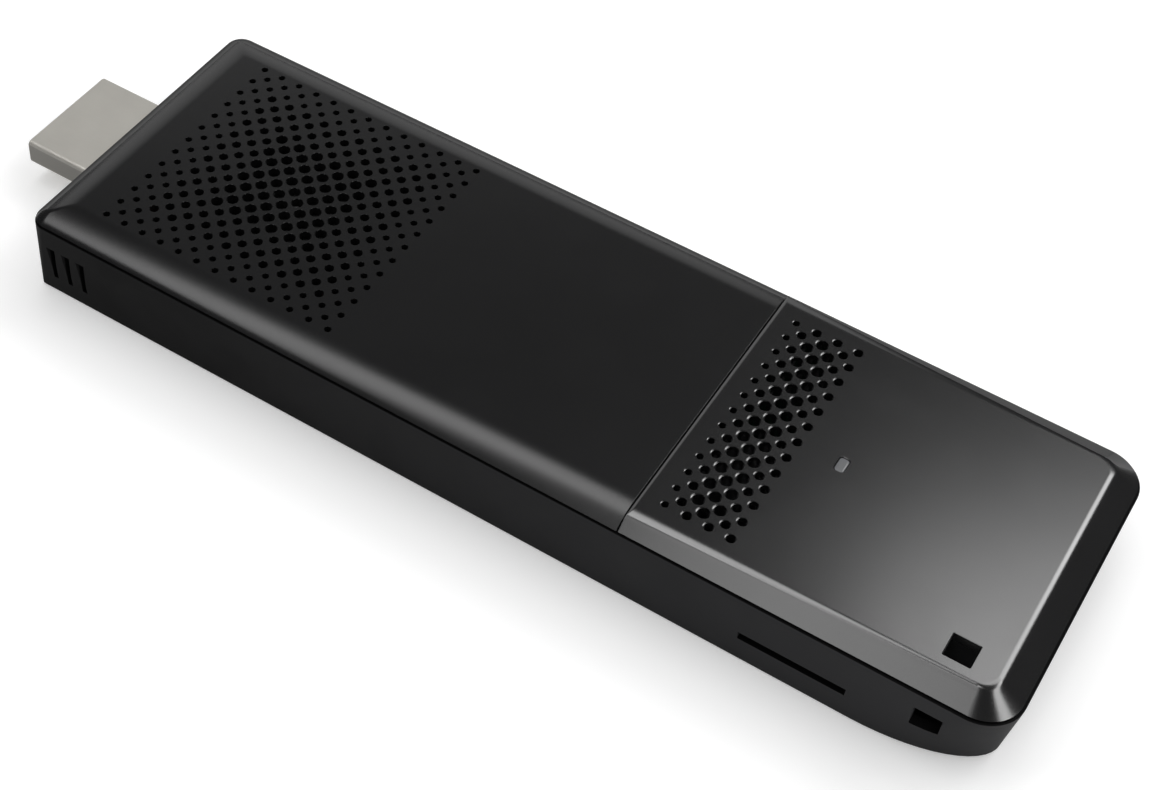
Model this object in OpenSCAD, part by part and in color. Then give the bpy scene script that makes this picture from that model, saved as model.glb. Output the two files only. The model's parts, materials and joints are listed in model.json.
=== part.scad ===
// Stick computer with a display plug: two black covers over a drafted base shell, with a board,
// a blower, sockets and antennas inside. Millimetres, +Z up. The plug points to -X, the tail to +X,
// the card slot faces -Y and the power and data sockets face +Y.
// The origin lies on the underside, below the middle of the overall box.
// Inside the modules X is counted from the outer face of the plug-end wall.

/* [Body] */
// Length of the casing without the plug
body_len = 114; // [112:0.5:130]
// Width of the casing over the two long walls
body_w = 38; // [37:0.5:46]
// Height from the underside to the top of the gloss cover
body_h = 12; // [11.6:0.1:15]
// Rise of the gloss cover above the seam with the base
crown_h = 1.65; // [1.4:0.05:2]
// Thickness of the base's walls
wall_t = 1.2; // [0.9:0.05:1.4]
// Thickness of the base's floor
floor_t = 1.2; // [0.8:0.1:1.5]
// Thickness of the covers at their flat tops
cover_t = 1.2; // [0.9:0.05:1.4]
// Lean of the long walls between the seam and the underside
side_draft = 0.85; // [0.2:0.05:1]
// Lean of the end walls between the seam and the underside
end_draft = 0.3; // [0.1:0.05:0.6]
// Corner radius at the plug end
plug_corner_r = 2; // [1:0.1:4]
// Corner radius at the tail, at the seam
tail_corner_r = 4.3; // [3:0.1:6]
// Corner radius at the tail, at the underside
foot_corner_r = 8.5; // [5:0.1:10]
// Width of the bevelled edge round the underside
foot_edge = 0.5; // [0.2:0.05:0.8]

/* [Covers] */
// Length of the matte vent cover, from the plug end
vent_cover_len = 73.1; // [70:0.1:76]
// Groove between the two covers
split_gap = 0.15; // [0.1:0.05:0.4]
// Drop of the matte cover's top below the gloss cover's
vent_cover_drop = 0.12; // [0:0.02:0.3]
// Width of the matte cover's pillow rounding
pillow_w = 4; // [2.5:0.1:5]
// Width of the gloss cover's side bevel at the split
bevel_at_split = 1.57; // [1.2:0.01:2.5]
// Width of the gloss cover's side bevel at the tail
bevel_at_tail = 3.05; // [2:0.01:3.5]
// Width of the gloss cover's bevel along the tail
tail_bevel = 3.2; // [2:0.01:4]
// Corner radius of the gloss cover's flat top
top_corner_r = 1.8; // [1:0.1:3]
// Depth of the locating lip below the seam
lip_h = 1.5; // [1.2:0.1:1.9]
// Thickness of the locating lip
lip_t = 0.8; // [0.6:0.05:1]
// Clearance between a lip or catch and the base
lip_clear = 0.1; // [0.05:0.01:0.2]
// Width of a snap catch
catch_w = 5; // [3:0.1:7]
// Reach of a snap catch into the base's wall
catch_reach = 0.35; // [0.2:0.05:0.5]
// Height of a snap catch
catch_h = 0.6; // [0.4:0.05:0.8]

/* [Vents] */
// Pitch of the vent holes along and across the covers
vent_pitch = 2.4; // [2.2:0.05:2.5]
// Whole pitches' worth of holes along each side of the square vent
vent_count = 13; // [9:1:13]
// Whole pitches' worth of holes along the gloss cover's vent band
band_count = 4; // [2:1:4]
// Distance from the split to the first row of the gloss cover's band
band_gap = 2.65; // [2:0.05:4]
// Diameter of the outer vent holes
hole_small = 0.78; // [0.6:0.02:1]
// Diameter of the middle vent holes
hole_medium = 1.05; // [0.8:0.05:1.3]
// Diameter of the inner vent holes
hole_large = 1.35; // [1:0.05:1.5]
// Distance from the plug end to the first exhaust slot
slot_start = 2.57; // [2.4:0.01:4]
// Pitch of the exhaust slots
slot_pitch = 2; // [1.6:0.1:2.6]
// Number of exhaust slots
slot_count = 3; // [1:1:4]
// Width of an exhaust slot
slot_w = 0.9; // [0.5:0.05:1.2]
// Height of an exhaust slot
slot_h = 4.5; // [2:0.1:5]
// Height of the exhaust slots' lower ends above the underside
slot_z = 2.5; // [2:0.1:4]

/* [Display plug] */
// Width of the plug's shell
plug_w = 13.9; // [13.8:0.01:14]
// Height of the plug's shell
plug_h = 4.45; // [4.4:0.01:4.5]
// Reach of the plug beyond the plug-end wall
plug_reach = 11.4; // [10:0.1:13]
// Thickness of the plug's shell
plug_t = 0.3; // [0.2:0.05:0.4]
// Slant of the plug's two lower corners
plug_slant = 1.55; // [1:0.05:1.8]
// Offset of the plug from the casing's middle
plug_y = 0.8; // [-2:0.1:2]
// Length of the insulator block behind the plug
plug_block = 2.2; // [1.5:0.1:3]
// Pitch of the plug's contacts
plug_pitch = 1; // [0.9:0.01:1.05]

/* [Board] */
// Thickness of the main board
board_t = 1; // [0.8:0.1:1.2]
// Height of the board's underside above the base's floor
board_gap = 2.1; // [1.8:0.1:2.4]
// Gap between the board's edge and the base's walls
board_clear = 0.4; // [0.3:0.05:0.8]
// Distance from the board's end to the tail
board_from_tail = 11; // [10.5:0.1:13]
// Height of the processor and the other flat chips
chip_h = 0.8; // [0.6:0.05:1]
// Side of the square processor
processor_w = 15; // [12:0.5:17]
// Distance from the plug end to the processor's middle
processor_x = 50.5; // [50:0.1:52]
// Thickness of the thermal pad
pad_t = 0.3; // [0.2:0.05:0.5]
// Thickness of the heat spreader
spreader_t = 0.8; // [0.6:0.05:1]
// Thread diameter of all screws
screw_d = 1.6; // [1.4:0.1:1.8]
// Head diameter of all screws
screw_head_d = 2.8; // [2.6:0.1:3.2]
// Head height of all screws
screw_head_h = 0.7; // [0.5:0.05:0.9]
// Wall of a screw boss round its bore
boss_wall = 0.9; // [0.6:0.05:1.2]

/* [Blower] */
// Distance from the plug end to the rotor's axis
fan_x = 21.7; // [21:0.1:23]
// Diameter of the rotor over its blades
rotor_d = 24.6; // [22:0.1:25]
// Gap between the blades and the housing
rotor_gap = 0.9; // [0.5:0.05:1.2]
// Diameter of the rotor's hub
hub_d = 12; // [11:0.1:13]
// Number of blades
blade_count = 17; // [9:1:23]
// Thickness of a blade
blade_t = 0.5; // [0.3:0.05:0.7]
// Bend radius of a blade
blade_r = 10; // [8:0.5:14]
// Diameter of the shaft
shaft_d = 1; // [0.8:0.1:1.2]
// Outer diameter of the bearing sleeve
bearing_d = 2.6; // [2.2:0.1:3]
// Running clearance round the shaft
shaft_clear = 0.02; // [0.01:0.01:0.05]
// Diameter of the air inlet in the blower's cover plate
inlet_d = 20; // [16:0.5:22]
// Gap between the blower and the vent cover
fan_headroom = 0.4; // [0.3:0.05:0.8]
// Number of cooling fins
fin_count = 9; // [5:1:11]

/* [Sockets] */
// Outer width of a data socket
data_w = 13.1; // [13:0.1:13.5]
// Outer height of a data socket
data_h = 5.7; // [5.6:0.1:5.9]
// Depth of a data socket
data_depth = 14; // [12:0.5:14.5]
// Thickness of the sockets' sheet metal
socket_t = 0.3; // [0.2:0.05:0.35]
// Depth of a data socket below the board's underside
data_sink = 0.85; // [0.6:0.05:1]
// Distance from the plug end to the middle of the first data socket
data_first_x = 66.5; // [65:0.1:67]
// Distance from the tail to the middle of the second data socket
data_second_from_tail = 28; // [27:0.1:29]
// Width of the power socket
power_w = 7.5; // [7.4:0.1:8]
// Height of the power socket
power_h = 2.6; // [2.5:0.1:3]
// Depth of the power socket
power_depth = 5.6; // [5:0.1:6]
// Distance from the plug end to the middle of the power socket
power_x = 53.5; // [52.5:0.1:54]
// Width of the memory card's slot
card_slot_w = 11.5; // [11.3:0.1:12]
// Height of the memory card's slot
card_slot_h = 1; // [0.9:0.05:1.2]
// Depth of the card socket
card_depth = 13.2; // [12:0.1:13.6]
// Height of the card socket
card_h = 1.5; // [1.4:0.05:1.8]
// Distance from the tail to the middle of the card slot
card_from_tail = 21.05; // [20.5:0.05:21.5]
// Travel of the card slider
slider_travel = 2; // [1:0.1:3]
// Clearance between a socket and its opening
port_clear = 0.15; // [0.1:0.01:0.3]

/* [Power button] */
// Width of the button
button_w = 6; // [5:0.1:6.5]
// Height of the button
button_h = 2.2; // [1.8:0.1:2.2]
// Distance from the plug end to the middle of the button
button_x = 44; // [43.5:0.1:44.5]
// Travel of the button
button_travel = 0.3; // [0.2:0.05:0.5]
// Clearance round the button and the switch plunger
button_clear = 0.12; // [0.08:0.01:0.2]
// Height of the switch
switch_h = 2.4; // [2.3:0.1:2.8]

/* [Lanyard and light] */
// Side of the square lanyard holes
lanyard_w = 2.85; // [2:0.05:3.5]
// Distance from the tail to the middle of the lanyard holes
lanyard_from_tail = 7.4; // [7:0.1:8.5]
// Distance from the near wall to the middle of the upper lanyard hole
lanyard_inset = 5.5; // [5:0.1:6.5]
// Height of the side lanyard hole's middle above the underside
lanyard_z = 6.25; // [5:0.05:6.5]
// Distance from the tail to the indicator light
light_from_tail = 26.1; // [25:0.1:27]
// Length of the light guide's window across the casing
light_l = 1.6; // [1.2:0.1:2]
// Width of the light guide's window
light_w = 0.9; // [0.6:0.05:1.1]

/* [Aerials] */
// Width of an antenna board
antenna_w = 6; // [5:0.1:6.5]
// Length of an antenna board
antenna_l = 10; // [8:0.1:10.5]
// Thickness of an antenna board
antenna_t = 0.8; // [0.6:0.05:1]
// Distance from the tail to the middle of the antenna boards
antenna_from_tail = 6.5; // [6:0.1:7]
// Diameter of an antenna lead
lead_d = 0.9; // [0.6:0.05:1]

/* [Hidden] */
$fn = 48;

// Casing levels and edges
half_w = body_w / 2;
seam_z = body_h - crown_h;
vent_top = body_h - vent_cover_drop;
frame_shift = (body_len - plug_reach) / 2;
vent_edge_x = vent_cover_len - split_gap / 2;
tail_edge_x = vent_cover_len + split_gap / 2;
split_rib = 1;
lip_end_gap = 3;
lip_notch = 1;
lip_root = 0.3;
lip_outer = wall_t + lip_clear;
lip_inner = lip_outer + lip_t;
catch_z = seam_z - lip_h / 2;
vent_catch_x = [18, 34, 56];
tail_catch_from_split = 9;
tail_catch_from_tail = 13;
arc_steps = 8;
pillow_steps = 6;
min_corner_r = 0.4;
cut = 1;
touch = 0.02;

// Board levels and edges
board_z = floor_t + board_gap;
board_top = board_z + board_t;
chip_top = board_top + chip_h;
spreader_z = chip_top + pad_t;
spreader_top = spreader_z + spreader_t;
under_clear = 0.3;
plug_z = board_z + board_t / 2;
plug_seat = 0.7;
plug_seat_x = wall_t + end_draft + plug_seat;
board_x0 = plug_seat_x + plug_block;
board_x1 = body_len - board_from_tail;
board_half_w = wall_y(board_z) - board_clear;
processor_y = -2.5;
chip_gap = 3;
memory_l = 11;
memory_w = 8;
memory_x = processor_x + processor_w / 2 + chip_gap + memory_w / 2;
memory_edge = 0.8;
memory_y = -board_half_w + memory_edge + memory_l / 2;
flash_l = 13;
flash_w = 11.5;
inductor_w = 4;
inductor_x = 16;
inductor_y = 6;
inductor_step = 8;
inductor_places = [[inductor_x, inductor_y], [inductor_x, -inductor_y], [inductor_x + inductor_step, 0]];

// Wireless module and aerials
module_w = 12;
module_l = 16;
module_t = 0.5;
module_from_tail = 35.5;
module_x = body_len - module_from_tail;
module_edge = 0.5;
module_y = -board_half_w + module_edge + module_l / 2;
shield_l = 12;
shield_h = 1.3;
lead_z = board_top + lead_d / 2 + touch;
lead_plug_d = 2;
lead_plug_h = 0.9;
jack_inset = 1.8;
lead_jack_y = module_y + module_l / 2 - jack_inset;
antenna_aux_from_wall = 9;
antenna_gap = 2;
antenna_aux_y = half_w - antenna_aux_from_wall;
antenna_main_y = antenna_aux_y - antenna_l - antenna_gap;
antenna_x = body_len - antenna_from_tail;
antenna_rib_t = 1;
lead_overlap = 1.5;

// Blower levels and edges
fan_z = spreader_top;
fan_top = vent_top - cover_t - fan_headroom;
fan_floor_t = 0.5;
fan_plate_t = 0.4;
fan_wall = 0.8;
fan_run_gap = 0.3;
fan_plate_z = fan_top - fan_plate_t;
volute_r = rotor_d / 2 + rotor_gap;
fit_gap = 0.2;
duct_throat = 4;
duct_x0 = lip_inner + end_draft + fit_gap + fan_wall;
duct_x1 = fan_x - volute_r + duct_throat;
duct_exit_y = -9.5;
fin_end_y = -15.2;
fin_t = 0.3;
fin_y1 = duct_exit_y - fit_gap;
fin_x1 = fan_x - sqrt(pow(volute_r + fan_wall, 2) - pow(fin_y1, 2)) - fit_gap;
rotor_z0 = fan_z + fan_floor_t + fan_run_gap;
rotor_z1 = fan_plate_z - fan_run_gap;
hub_top_t = 0.5;
hub_wall = 0.7;
magnet_t = 0.8;
magnet_d = hub_d - 2 * hub_wall - 2 * touch;
air_gap = 0.3;
stator_d = magnet_d - 2 * magnet_t - 2 * air_gap;
bearing_tube_t = 0.5;
bearing_tube_d = bearing_d + 2 * bearing_tube_t;
bearing_top = rotor_z1 - hub_top_t - fan_run_gap;
stator_teeth = 6;
blade_steps = 6;
blade_embed_a = 2;
ear_edge = 0.4;
ear_r = screw_head_d / 2 + ear_edge;
ear_t = 0.8;
ear_y = 12.6;
ear_reach_far = 12.5;
ear_reach_near = 12.3;
ear_x_far = fan_x + ear_reach_far;
ear_x_near = fan_x - ear_reach_near;
fan_screw_places = [[ear_x_far, ear_y], [ear_x_far, -ear_y], [ear_x_near, ear_y]];

// Power button and switch
button_z = board_top + switch_h / 2;
button_recess = 0.03;
button_face_y = wall_y(button_z - button_h / 2) + wall_t - button_recess;
flange_grow = 0.7;
flange_t = 0.7;
flange_gap = 0.15;
flange_z0 = board_top + flange_gap;
flange_z1 = button_z + button_h / 2 + flange_grow;
flange_rest_gap = 0.06;
flange_y1 = wall_y(flange_z0) - flange_rest_gap;
flange_y0 = flange_y1 - flange_t;
plunger_w = 1.6;
plunger_h = 1;
plunger_out = 0.8;
plunger_in = 0.9;
switch_w = 4.6;
switch_l = 2.6;
plunger_gap = 0.05;
plunger_tip_y = flange_y0 - plunger_gap;
switch_face_y = plunger_tip_y - plunger_out;

// Heat spreader and screws
die_edge = 2;
pad_w = processor_w - 2 * die_edge;
spreader_edge = 1.2;
spreader_screw_inset = 1.6;
spreader_x1 = processor_x + processor_w / 2 + spreader_edge;
spreader_gap = 0.7;
spreader_step_x = button_x - switch_w / 2 - spreader_gap;
spreader_cpu_y0 = -14;
spreader_cpu_y1 = processor_y + pad_w / 2 + spreader_edge / 2;
spreader_half_w = 14.6;
spreader_screw_y = 3.5;
spreader_screw_places = [[spreader_step_x - spreader_screw_inset, spreader_screw_y],
    [spreader_x1 - spreader_screw_inset, spreader_cpu_y0 + spreader_screw_inset]];
board_screw_inset = 2.1;
board_screw_far_inset = 6;
board_screw_edge = 3.6;
board_screw_far_edge = 4.3;
board_screw_places = [[board_x1 - board_screw_far_inset, board_half_w - board_screw_far_edge],
    [board_x1 - board_screw_inset, -board_half_w + board_screw_edge]];
screw_clear = 0.05;
screw_hole_d = screw_d + 2 * screw_clear;
screw_depth = 1.6;
screw_drive_d = 1.3;

// Sockets on the far wall
port_recess = 0.05;
port_face_y = half_w - side_draft - port_recess;
data_second_x = body_len - data_second_from_tail;
data_z = board_z - data_sink + data_h / 2;
data_block = 3.5;
data_tongue_w = 11.2;
data_tongue_t = 1.8;
data_tongue_lift = 0.75;
data_tongue_inset = 1;
data_contact_l = 7;
data_contact_w = 1;
data_extra_l = 1.2;
data_extra_w = 0.7;
data_extra_step = 1.6;
data_contact_t = 0.15;
data_tab_w = 1.2;
data_tab_l = 3;
power_z = board_top + power_h / 2;
power_slant = 0.6;
power_block = 1.2;
power_tongue_w = 4.8;
power_tongue_t = 0.6;

// Card socket in the near wall
card_x = body_len - card_from_tail;
card_side = 0.6;
card_w = card_slot_w + 2 * card_side;
card_sheet = 0.2;
card_z = board_z + card_h / 2;
card_mouth_y = -wall_y(card_z - card_h / 2) + port_clear;
card_inner_y = card_mouth_y + card_depth;
card_tab_w = 1;
card_contact_count = 8;
card_contact_pitch = 1.1;
card_contact_l = 3;
card_contact_w = 0.6;
card_contact_t = 0.12;
card_contact_side = 1.6;
card_contact_back = 2;
slider_w = 1.6;
slider_l = 4;
slider_clear = 0.1;
spring_room = 2.6;
slider_y = card_inner_y - card_sheet - slider_l - spring_room - slider_travel;
spring_wire = 0.16;
spring_d = 0.66;
spring_turns = 9;
spring_end_gap = 0.1;

// Lanyard and light
lanyard_x = body_len - lanyard_from_tail;
light_x = body_len - light_from_tail;
indicator_l = 1.6;
indicator_w = 0.8;
indicator_h = 0.6;
guide_gap = 0.1;
guide_clear = 0.05;
guide_flange = 0.6;
guide_flange_t = 0.5;

// Share of the wall's lean at a height, 1 at the underside and 0 at the seam
function lean(z) = 1 - z / seam_z;

// Distance from the middle to the inner face of a long wall at a height
function wall_y(z) = half_w - side_draft * lean(z) - wall_t;

// Points of one outline corner, from its sharp corner, its directions and its radius
function corner(x, y, sx, sy, r, start) = r == 0 ? [[x, y]] :
    [for (i = [0:arc_steps]) let (a = start + 90 * i / arc_steps)
        [x - sx * r + r * cos(a), y - sy * r + r * sin(a)]];

// Outline between two ends, each with its half width and corner radius
function ring(x0, x1, w0, w1, r0, r1) = concat(
    corner(x1, -w1, 1, -1, r1, -90), corner(x1, w1, 1, 1, r1, 0),
    corner(x0, w0, -1, 1, r0, 90), corner(x0, -w0, -1, -1, r0, 180));

function plug_r(inset) = max(plug_corner_r - inset, min_corner_r);
function tail_r(z, inset) =
    max(tail_corner_r + (foot_corner_r - tail_corner_r) * lean(z) - inset, min_corner_r);

// Outline of the base at a height, drawn in by an inset
function base_ring(z, inset) =
    let (side = half_w - side_draft * lean(z) - inset, end = end_draft * lean(z) + inset)
    ring(end, body_len - end, side, side, plug_r(inset), tail_r(z, inset));

// The part of that outline under the vent cover, up to a cross edge
function vent_ring(z, inset, edge_x) =
    let (side = half_w - side_draft * lean(z) - inset, end = end_draft * lean(z) + inset)
    ring(end, edge_x, side, side, plug_r(inset), 0);

// The part of that outline under the tail cover, from a cross edge
function tail_ring(z, inset, edge_x) =
    let (side = half_w - side_draft * lean(z) - inset, end = end_draft * lean(z) + inset)
    ring(edge_x, body_len - end, side, side, 0, tail_r(z, inset));

// Height of the matte cover's pillow at a distance from its edge
function pillow_z(s) = seam_z + (vent_top - seam_z) * (1 - pow(1 - s / pillow_w, 2));

// Vent hole diameter by its half-pitch distance from the vent's border
function square_hole_d(i, j, last) = let (depth = min(i, j, last - i, last - j))
    depth < 3 ? hole_small : depth < 7 ? hole_medium : hole_large;
function band_hole_d(i, last) = i == 0 ? hole_small : i == 1 || i >= last - 1 ? hole_medium : hole_large;

// Faces of a stack of rings with n points each
function stack_faces(n, levels) = concat(
    [[for (i = [0:n - 1]) i]], [[for (i = [n - 1:-1:0]) (levels - 1) * n + i]],
    [for (k = [0:levels - 2], i = [0:n - 1])
        let (a = k * n + i, b = k * n + (i + 1) % n)
        each [[a, a + n, b + n], [a, b + n, b]]]);

// Cubic curve and the direction along it
function curve(p, t) = pow(1 - t, 3) * p[0] + 3 * t * pow(1 - t, 2) * p[1]
    + 3 * t * t * (1 - t) * p[2] + pow(t, 3) * p[3];
function unit(v) = v / norm(v);
function heading(path, i) = unit(path[min(i + 1, len(path) - 1)] - path[max(i - 1, 0)]);

module in_frame() translate([-frame_shift, 0, 0]) children();

// Solid through a list of flat rings at their heights
module loft(rings, heights)
    polyhedron([for (k = [0:len(rings) - 1]) for (p = rings[k]) [p.x, p.y, heights[k]]],
        stack_faces(len(rings[0]), len(rings)));

// Round wire of a diameter along a path that never runs upright
module wire(path, d, sides = 8)
    polyhedron([for (i = [0:len(path) - 1])
        let (h = heading(path, i), side = unit(cross(h, [0, 0, 1])), up = cross(side, h))
        for (k = [0:sides - 1])
            path[i] + d / 2 * (cos(360 * k / sides) * up + sin(360 * k / sides) * side)],
        stack_faces(sides, len(path)));

// Box from two corners
module block(low, high) translate(low) cube(high - low);

// Flat shape in the Y-Z plane, extruded from x0 to x1
module along_x(x0, x1) translate([x0, 0, 0]) rotate([90, 0, 90]) linear_extrude(x1 - x0) children();

// Slot with round ends, w long and h high
module stadium(w, h) {
    square([w - h, h], center = true);
    for (side = [-1, 1])
        translate([side * (w - h) / 2, 0]) circle(d = h);
}

module at_places(places, z) for (p = places) translate([p.x, p.y, z]) children();

// Screw with its seat at z = 0, its head above and its shank below
module screw(length) {
    difference() {
        cylinder(d = screw_head_d, h = screw_head_h);
        translate([0, 0, screw_head_h / 2])
            cylinder(d = screw_drive_d, h = screw_head_h, $fn = 6);
    }
    translate([0, 0, -length]) cylinder(d = screw_d, h = length);
}

module catches(places, reach, grow) {
    inner_y = wall_y(catch_z);
    for (x = places, side = [-1, 1]) {
        y0 = side * (inner_y - lip_clear - lip_t / 2);
        y1 = side * (inner_y + reach);
        block([x - catch_w / 2 - grow, min(y0, y1), catch_z - catch_h / 2 - grow],
            [x + catch_w / 2 + grow, max(y0, y1), catch_z + catch_h / 2 + grow]);
    }
}

tail_catch_x = [tail_edge_x + tail_catch_from_split, body_len - tail_catch_from_tail];

// Casing

module plug_profile(grow)
    translate([plug_y, plug_z]) {
        w = plug_w / 2 + grow;
        h = plug_h / 2 + grow;
        polygon([[-w, h], [-w, -h + plug_slant], [-w + plug_slant, -h],
            [w - plug_slant, -h], [w, -h + plug_slant], [w, h]]);
    }

module near_wall_openings() {
    inner_y = -wall_y(0) + cut;
    for (i = [0:slot_count - 1])
        translate([slot_start + i * slot_pitch - slot_w / 2, -half_w - cut, slot_z])
            cube([slot_w, half_w + cut + inner_y, slot_h]);
    block([card_x - card_slot_w / 2, -half_w - cut, card_z - card_slot_h / 2],
        [card_x + card_slot_w / 2, inner_y, card_z + card_slot_h / 2]);
    block([lanyard_x - lanyard_w / 2, -half_w - cut, lanyard_z - lanyard_w / 2],
        [lanyard_x + lanyard_w / 2, inner_y, lanyard_z + lanyard_w / 2]);
}

module far_wall_openings() {
    inner_y = wall_y(0) - cut;
    for (x = [data_first_x, data_second_x])
        block([x - data_w / 2 - port_clear, inner_y, data_z - data_h / 2 - port_clear],
            [x + data_w / 2 + port_clear, half_w + cut, data_z + data_h / 2 + port_clear]);
    block([power_x - power_w / 2 - port_clear, inner_y, board_top - port_clear],
        [power_x + power_w / 2 + port_clear, half_w + cut, board_top + power_h + port_clear]);
    translate([button_x, half_w + cut, button_z]) rotate([90, 0, 0])
        linear_extrude(half_w + cut - inner_y)
            stadium(button_w + 2 * button_clear, button_h + 2 * button_clear);
}

module boss_bodies() {
    at_places(concat(fan_screw_places, spreader_screw_places, board_screw_places), floor_t / 2)
        cylinder(d = screw_d + 2 * boss_wall, h = board_z - floor_t / 2);
    for (y = [antenna_main_y, antenna_aux_y], side = [-1, 1])
        translate([antenna_x - antenna_w / 2 + cut / 2, y + side * antenna_l / 3 - antenna_rib_t / 2,
            floor_t / 2])
            cube([antenna_w - cut, antenna_rib_t, board_top - antenna_t - floor_t / 2]);
}

module base_shell() color("#1d1d1f") in_frame()
    difference() {
        union() {
            difference() {
                loft([base_ring(0, foot_edge), base_ring(foot_edge, 0), base_ring(seam_z, 0)],
                    [0, foot_edge, seam_z]);
                loft([base_ring(floor_t, wall_t), base_ring(seam_z + cut, wall_t)],
                    [floor_t, seam_z + cut]);
            }
            boss_bodies();
        }
        at_places(concat(fan_screw_places, spreader_screw_places, board_screw_places),
            board_z - screw_depth)
            cylinder(d = screw_hole_d, h = screw_depth + cut);
        along_x(-cut, plug_seat_x + cut) plug_profile(port_clear);
        near_wall_openings();
        far_wall_openings();
        catches(concat(vent_catch_x, tail_catch_x), catch_reach + lip_clear, lip_clear);
    }

// Room above the data sockets, taken out of the covers' lips
module lip_notches()
    for (x = [data_first_x, data_second_x])
        block([x - data_w / 2 - lip_notch, 0, data_z],
            [x + data_w / 2 + lip_notch, half_w, data_z + data_h / 2 + under_clear]);

module square_vent() {
    last = 2 * (vent_count - 1);
    for (i = [0:last], j = [i % 2:2:last])
        translate([fan_x + (i - last / 2) * vent_pitch / 2, (j - last / 2) * vent_pitch / 2,
            vent_top - cover_t - cut])
            cylinder(d = square_hole_d(i, j, last), h = cover_t + 2 * cut, $fn = 24);
}

module vent_cover() color("#232325") in_frame()
    difference() {
        union() {
            loft([for (k = [0:pillow_steps]) let (s = pillow_w * k / pillow_steps)
                    ring(s, vent_edge_x, half_w - s, half_w - s, plug_r(s), 0)],
                [for (k = [0:pillow_steps]) pillow_z(pillow_w * k / pillow_steps)]);
            loft([for (z = [seam_z - lip_h, seam_z + lip_root])
                    vent_ring(z, lip_outer, vent_edge_x - lip_end_gap)],
                [seam_z - lip_h, seam_z + lip_root]);
            catches(vent_catch_x, catch_reach, 0);
        }
        loft([vent_ring(seam_z - lip_h - cut, lip_inner, vent_edge_x - split_rib),
                vent_ring(vent_top - cover_t, lip_inner, vent_edge_x - split_rib)],
            [seam_z - lip_h - cut, vent_top - cover_t]);
        lip_notches();
        square_vent();
    }

module band_vent() {
    last = 2 * (band_count - 1);
    last_row = 2 * (vent_count - 1);
    for (i = [0:last], j = [i % 2:2:last_row])
        translate([vent_cover_len + band_gap + i * vent_pitch / 2,
            (j - last_row / 2) * vent_pitch / 2, body_h - cover_t - cut])
            cylinder(d = band_hole_d(i, last), h = cover_t + 2 * cut, $fn = 24);
}

module light_profile(grow)
    rotate([0, 0, 90]) stadium(light_l + 2 * grow, light_w + 2 * grow);

module tail_cover() color("#2c2c2f") in_frame()
    difference() {
        union() {
            loft([ring(tail_edge_x, body_len, half_w, half_w, 0, tail_corner_r),
                    ring(tail_edge_x, body_len - tail_bevel, half_w - bevel_at_split,
                        half_w - bevel_at_tail, 0, top_corner_r)],
                [seam_z, body_h]);
            loft([for (z = [seam_z - lip_h, seam_z + lip_root])
                    tail_ring(z, lip_outer, tail_edge_x + lip_end_gap)],
                [seam_z - lip_h, seam_z + lip_root]);
            catches(tail_catch_x, catch_reach, 0);
        }
        loft([tail_ring(seam_z - lip_h - cut, lip_inner, tail_edge_x + split_rib),
                tail_ring(body_h - cover_t, lip_inner, tail_edge_x + split_rib)],
            [seam_z - lip_h - cut, body_h - cover_t]);
        lip_notches();
        band_vent();
        translate([light_x, 0, body_h - cover_t - cut])
            linear_extrude(cover_t + 2 * cut) light_profile(guide_clear);
        translate([lanyard_x - lanyard_w / 2, -half_w + lanyard_inset - lanyard_w / 2,
            body_h - cover_t - cut])
            cube([lanyard_w, lanyard_w, cover_t + 2 * cut]);
    }

// Display plug

plug_slot_w = 11.2;
plug_slot_h = 2;
plug_slot_floor = 2;
plug_contact_w = 0.45;
plug_contact_t = 0.15;
plug_tail_l = 1.8;
plug_rows = [[10, 1], [9, -1]];

module plug_shell() color("#b9b5ab") in_frame()
    difference() {
        along_x(-plug_reach, plug_seat_x) plug_profile(0);
        along_x(-plug_reach - cut, plug_seat_x + cut) plug_profile(-plug_t);
    }

module plug_insulator() color("#202022") in_frame()
    difference() {
        union() {
            along_x(-plug_reach + plug_t, plug_seat_x) plug_profile(-plug_t - touch);
            along_x(plug_seat_x, board_x0) plug_profile(-plug_t);
        }
        translate([-plug_reach, plug_y - plug_slot_w / 2, plug_z - plug_slot_h / 2])
            cube([plug_reach - plug_slot_floor, plug_slot_w, plug_slot_h]);
    }

module plug_contacts() color("#d2b36a") in_frame()
    for (row = plug_rows, i = [0:row[0] - 1]) {
        y = plug_y + (i - (row[0] - 1) / 2) * plug_pitch - plug_contact_w / 2;
        slot_face = plug_z + row[1] * (plug_slot_h - plug_contact_t) / 2 - plug_contact_t / 2;
        board_face = plug_z + row[1] * (board_t + plug_contact_t) / 2 - plug_contact_t / 2;
        translate([-plug_reach + 4 * plug_t, y, slot_face])
            cube([plug_reach - plug_slot_floor - 5 * plug_t, plug_contact_w, plug_contact_t]);
        translate([board_x0 + touch, y, board_face])
            cube([plug_tail_l, plug_contact_w, plug_contact_t]);
    }

// Board and what is soldered to it

module main_board() color("#1f5a3a") in_frame()
    difference() {
        block([board_x0, -board_half_w, board_z], [board_x1, board_half_w, board_top]);
        for (x = [data_first_x, data_second_x])
            block([x - data_w / 2 - port_clear, port_face_y - data_depth - port_clear, board_z - cut],
                [x + data_w / 2 + port_clear, half_w, board_top + cut]);
        block([card_x - card_w / 2 - port_clear, -half_w, board_z - cut],
            [card_x + card_w / 2 + port_clear, card_inner_y + port_clear, board_top + cut]);
        at_places(concat(fan_screw_places, spreader_screw_places, board_screw_places), board_z - cut)
            cylinder(d = screw_hole_d, h = board_t + 2 * cut);
    }

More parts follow.
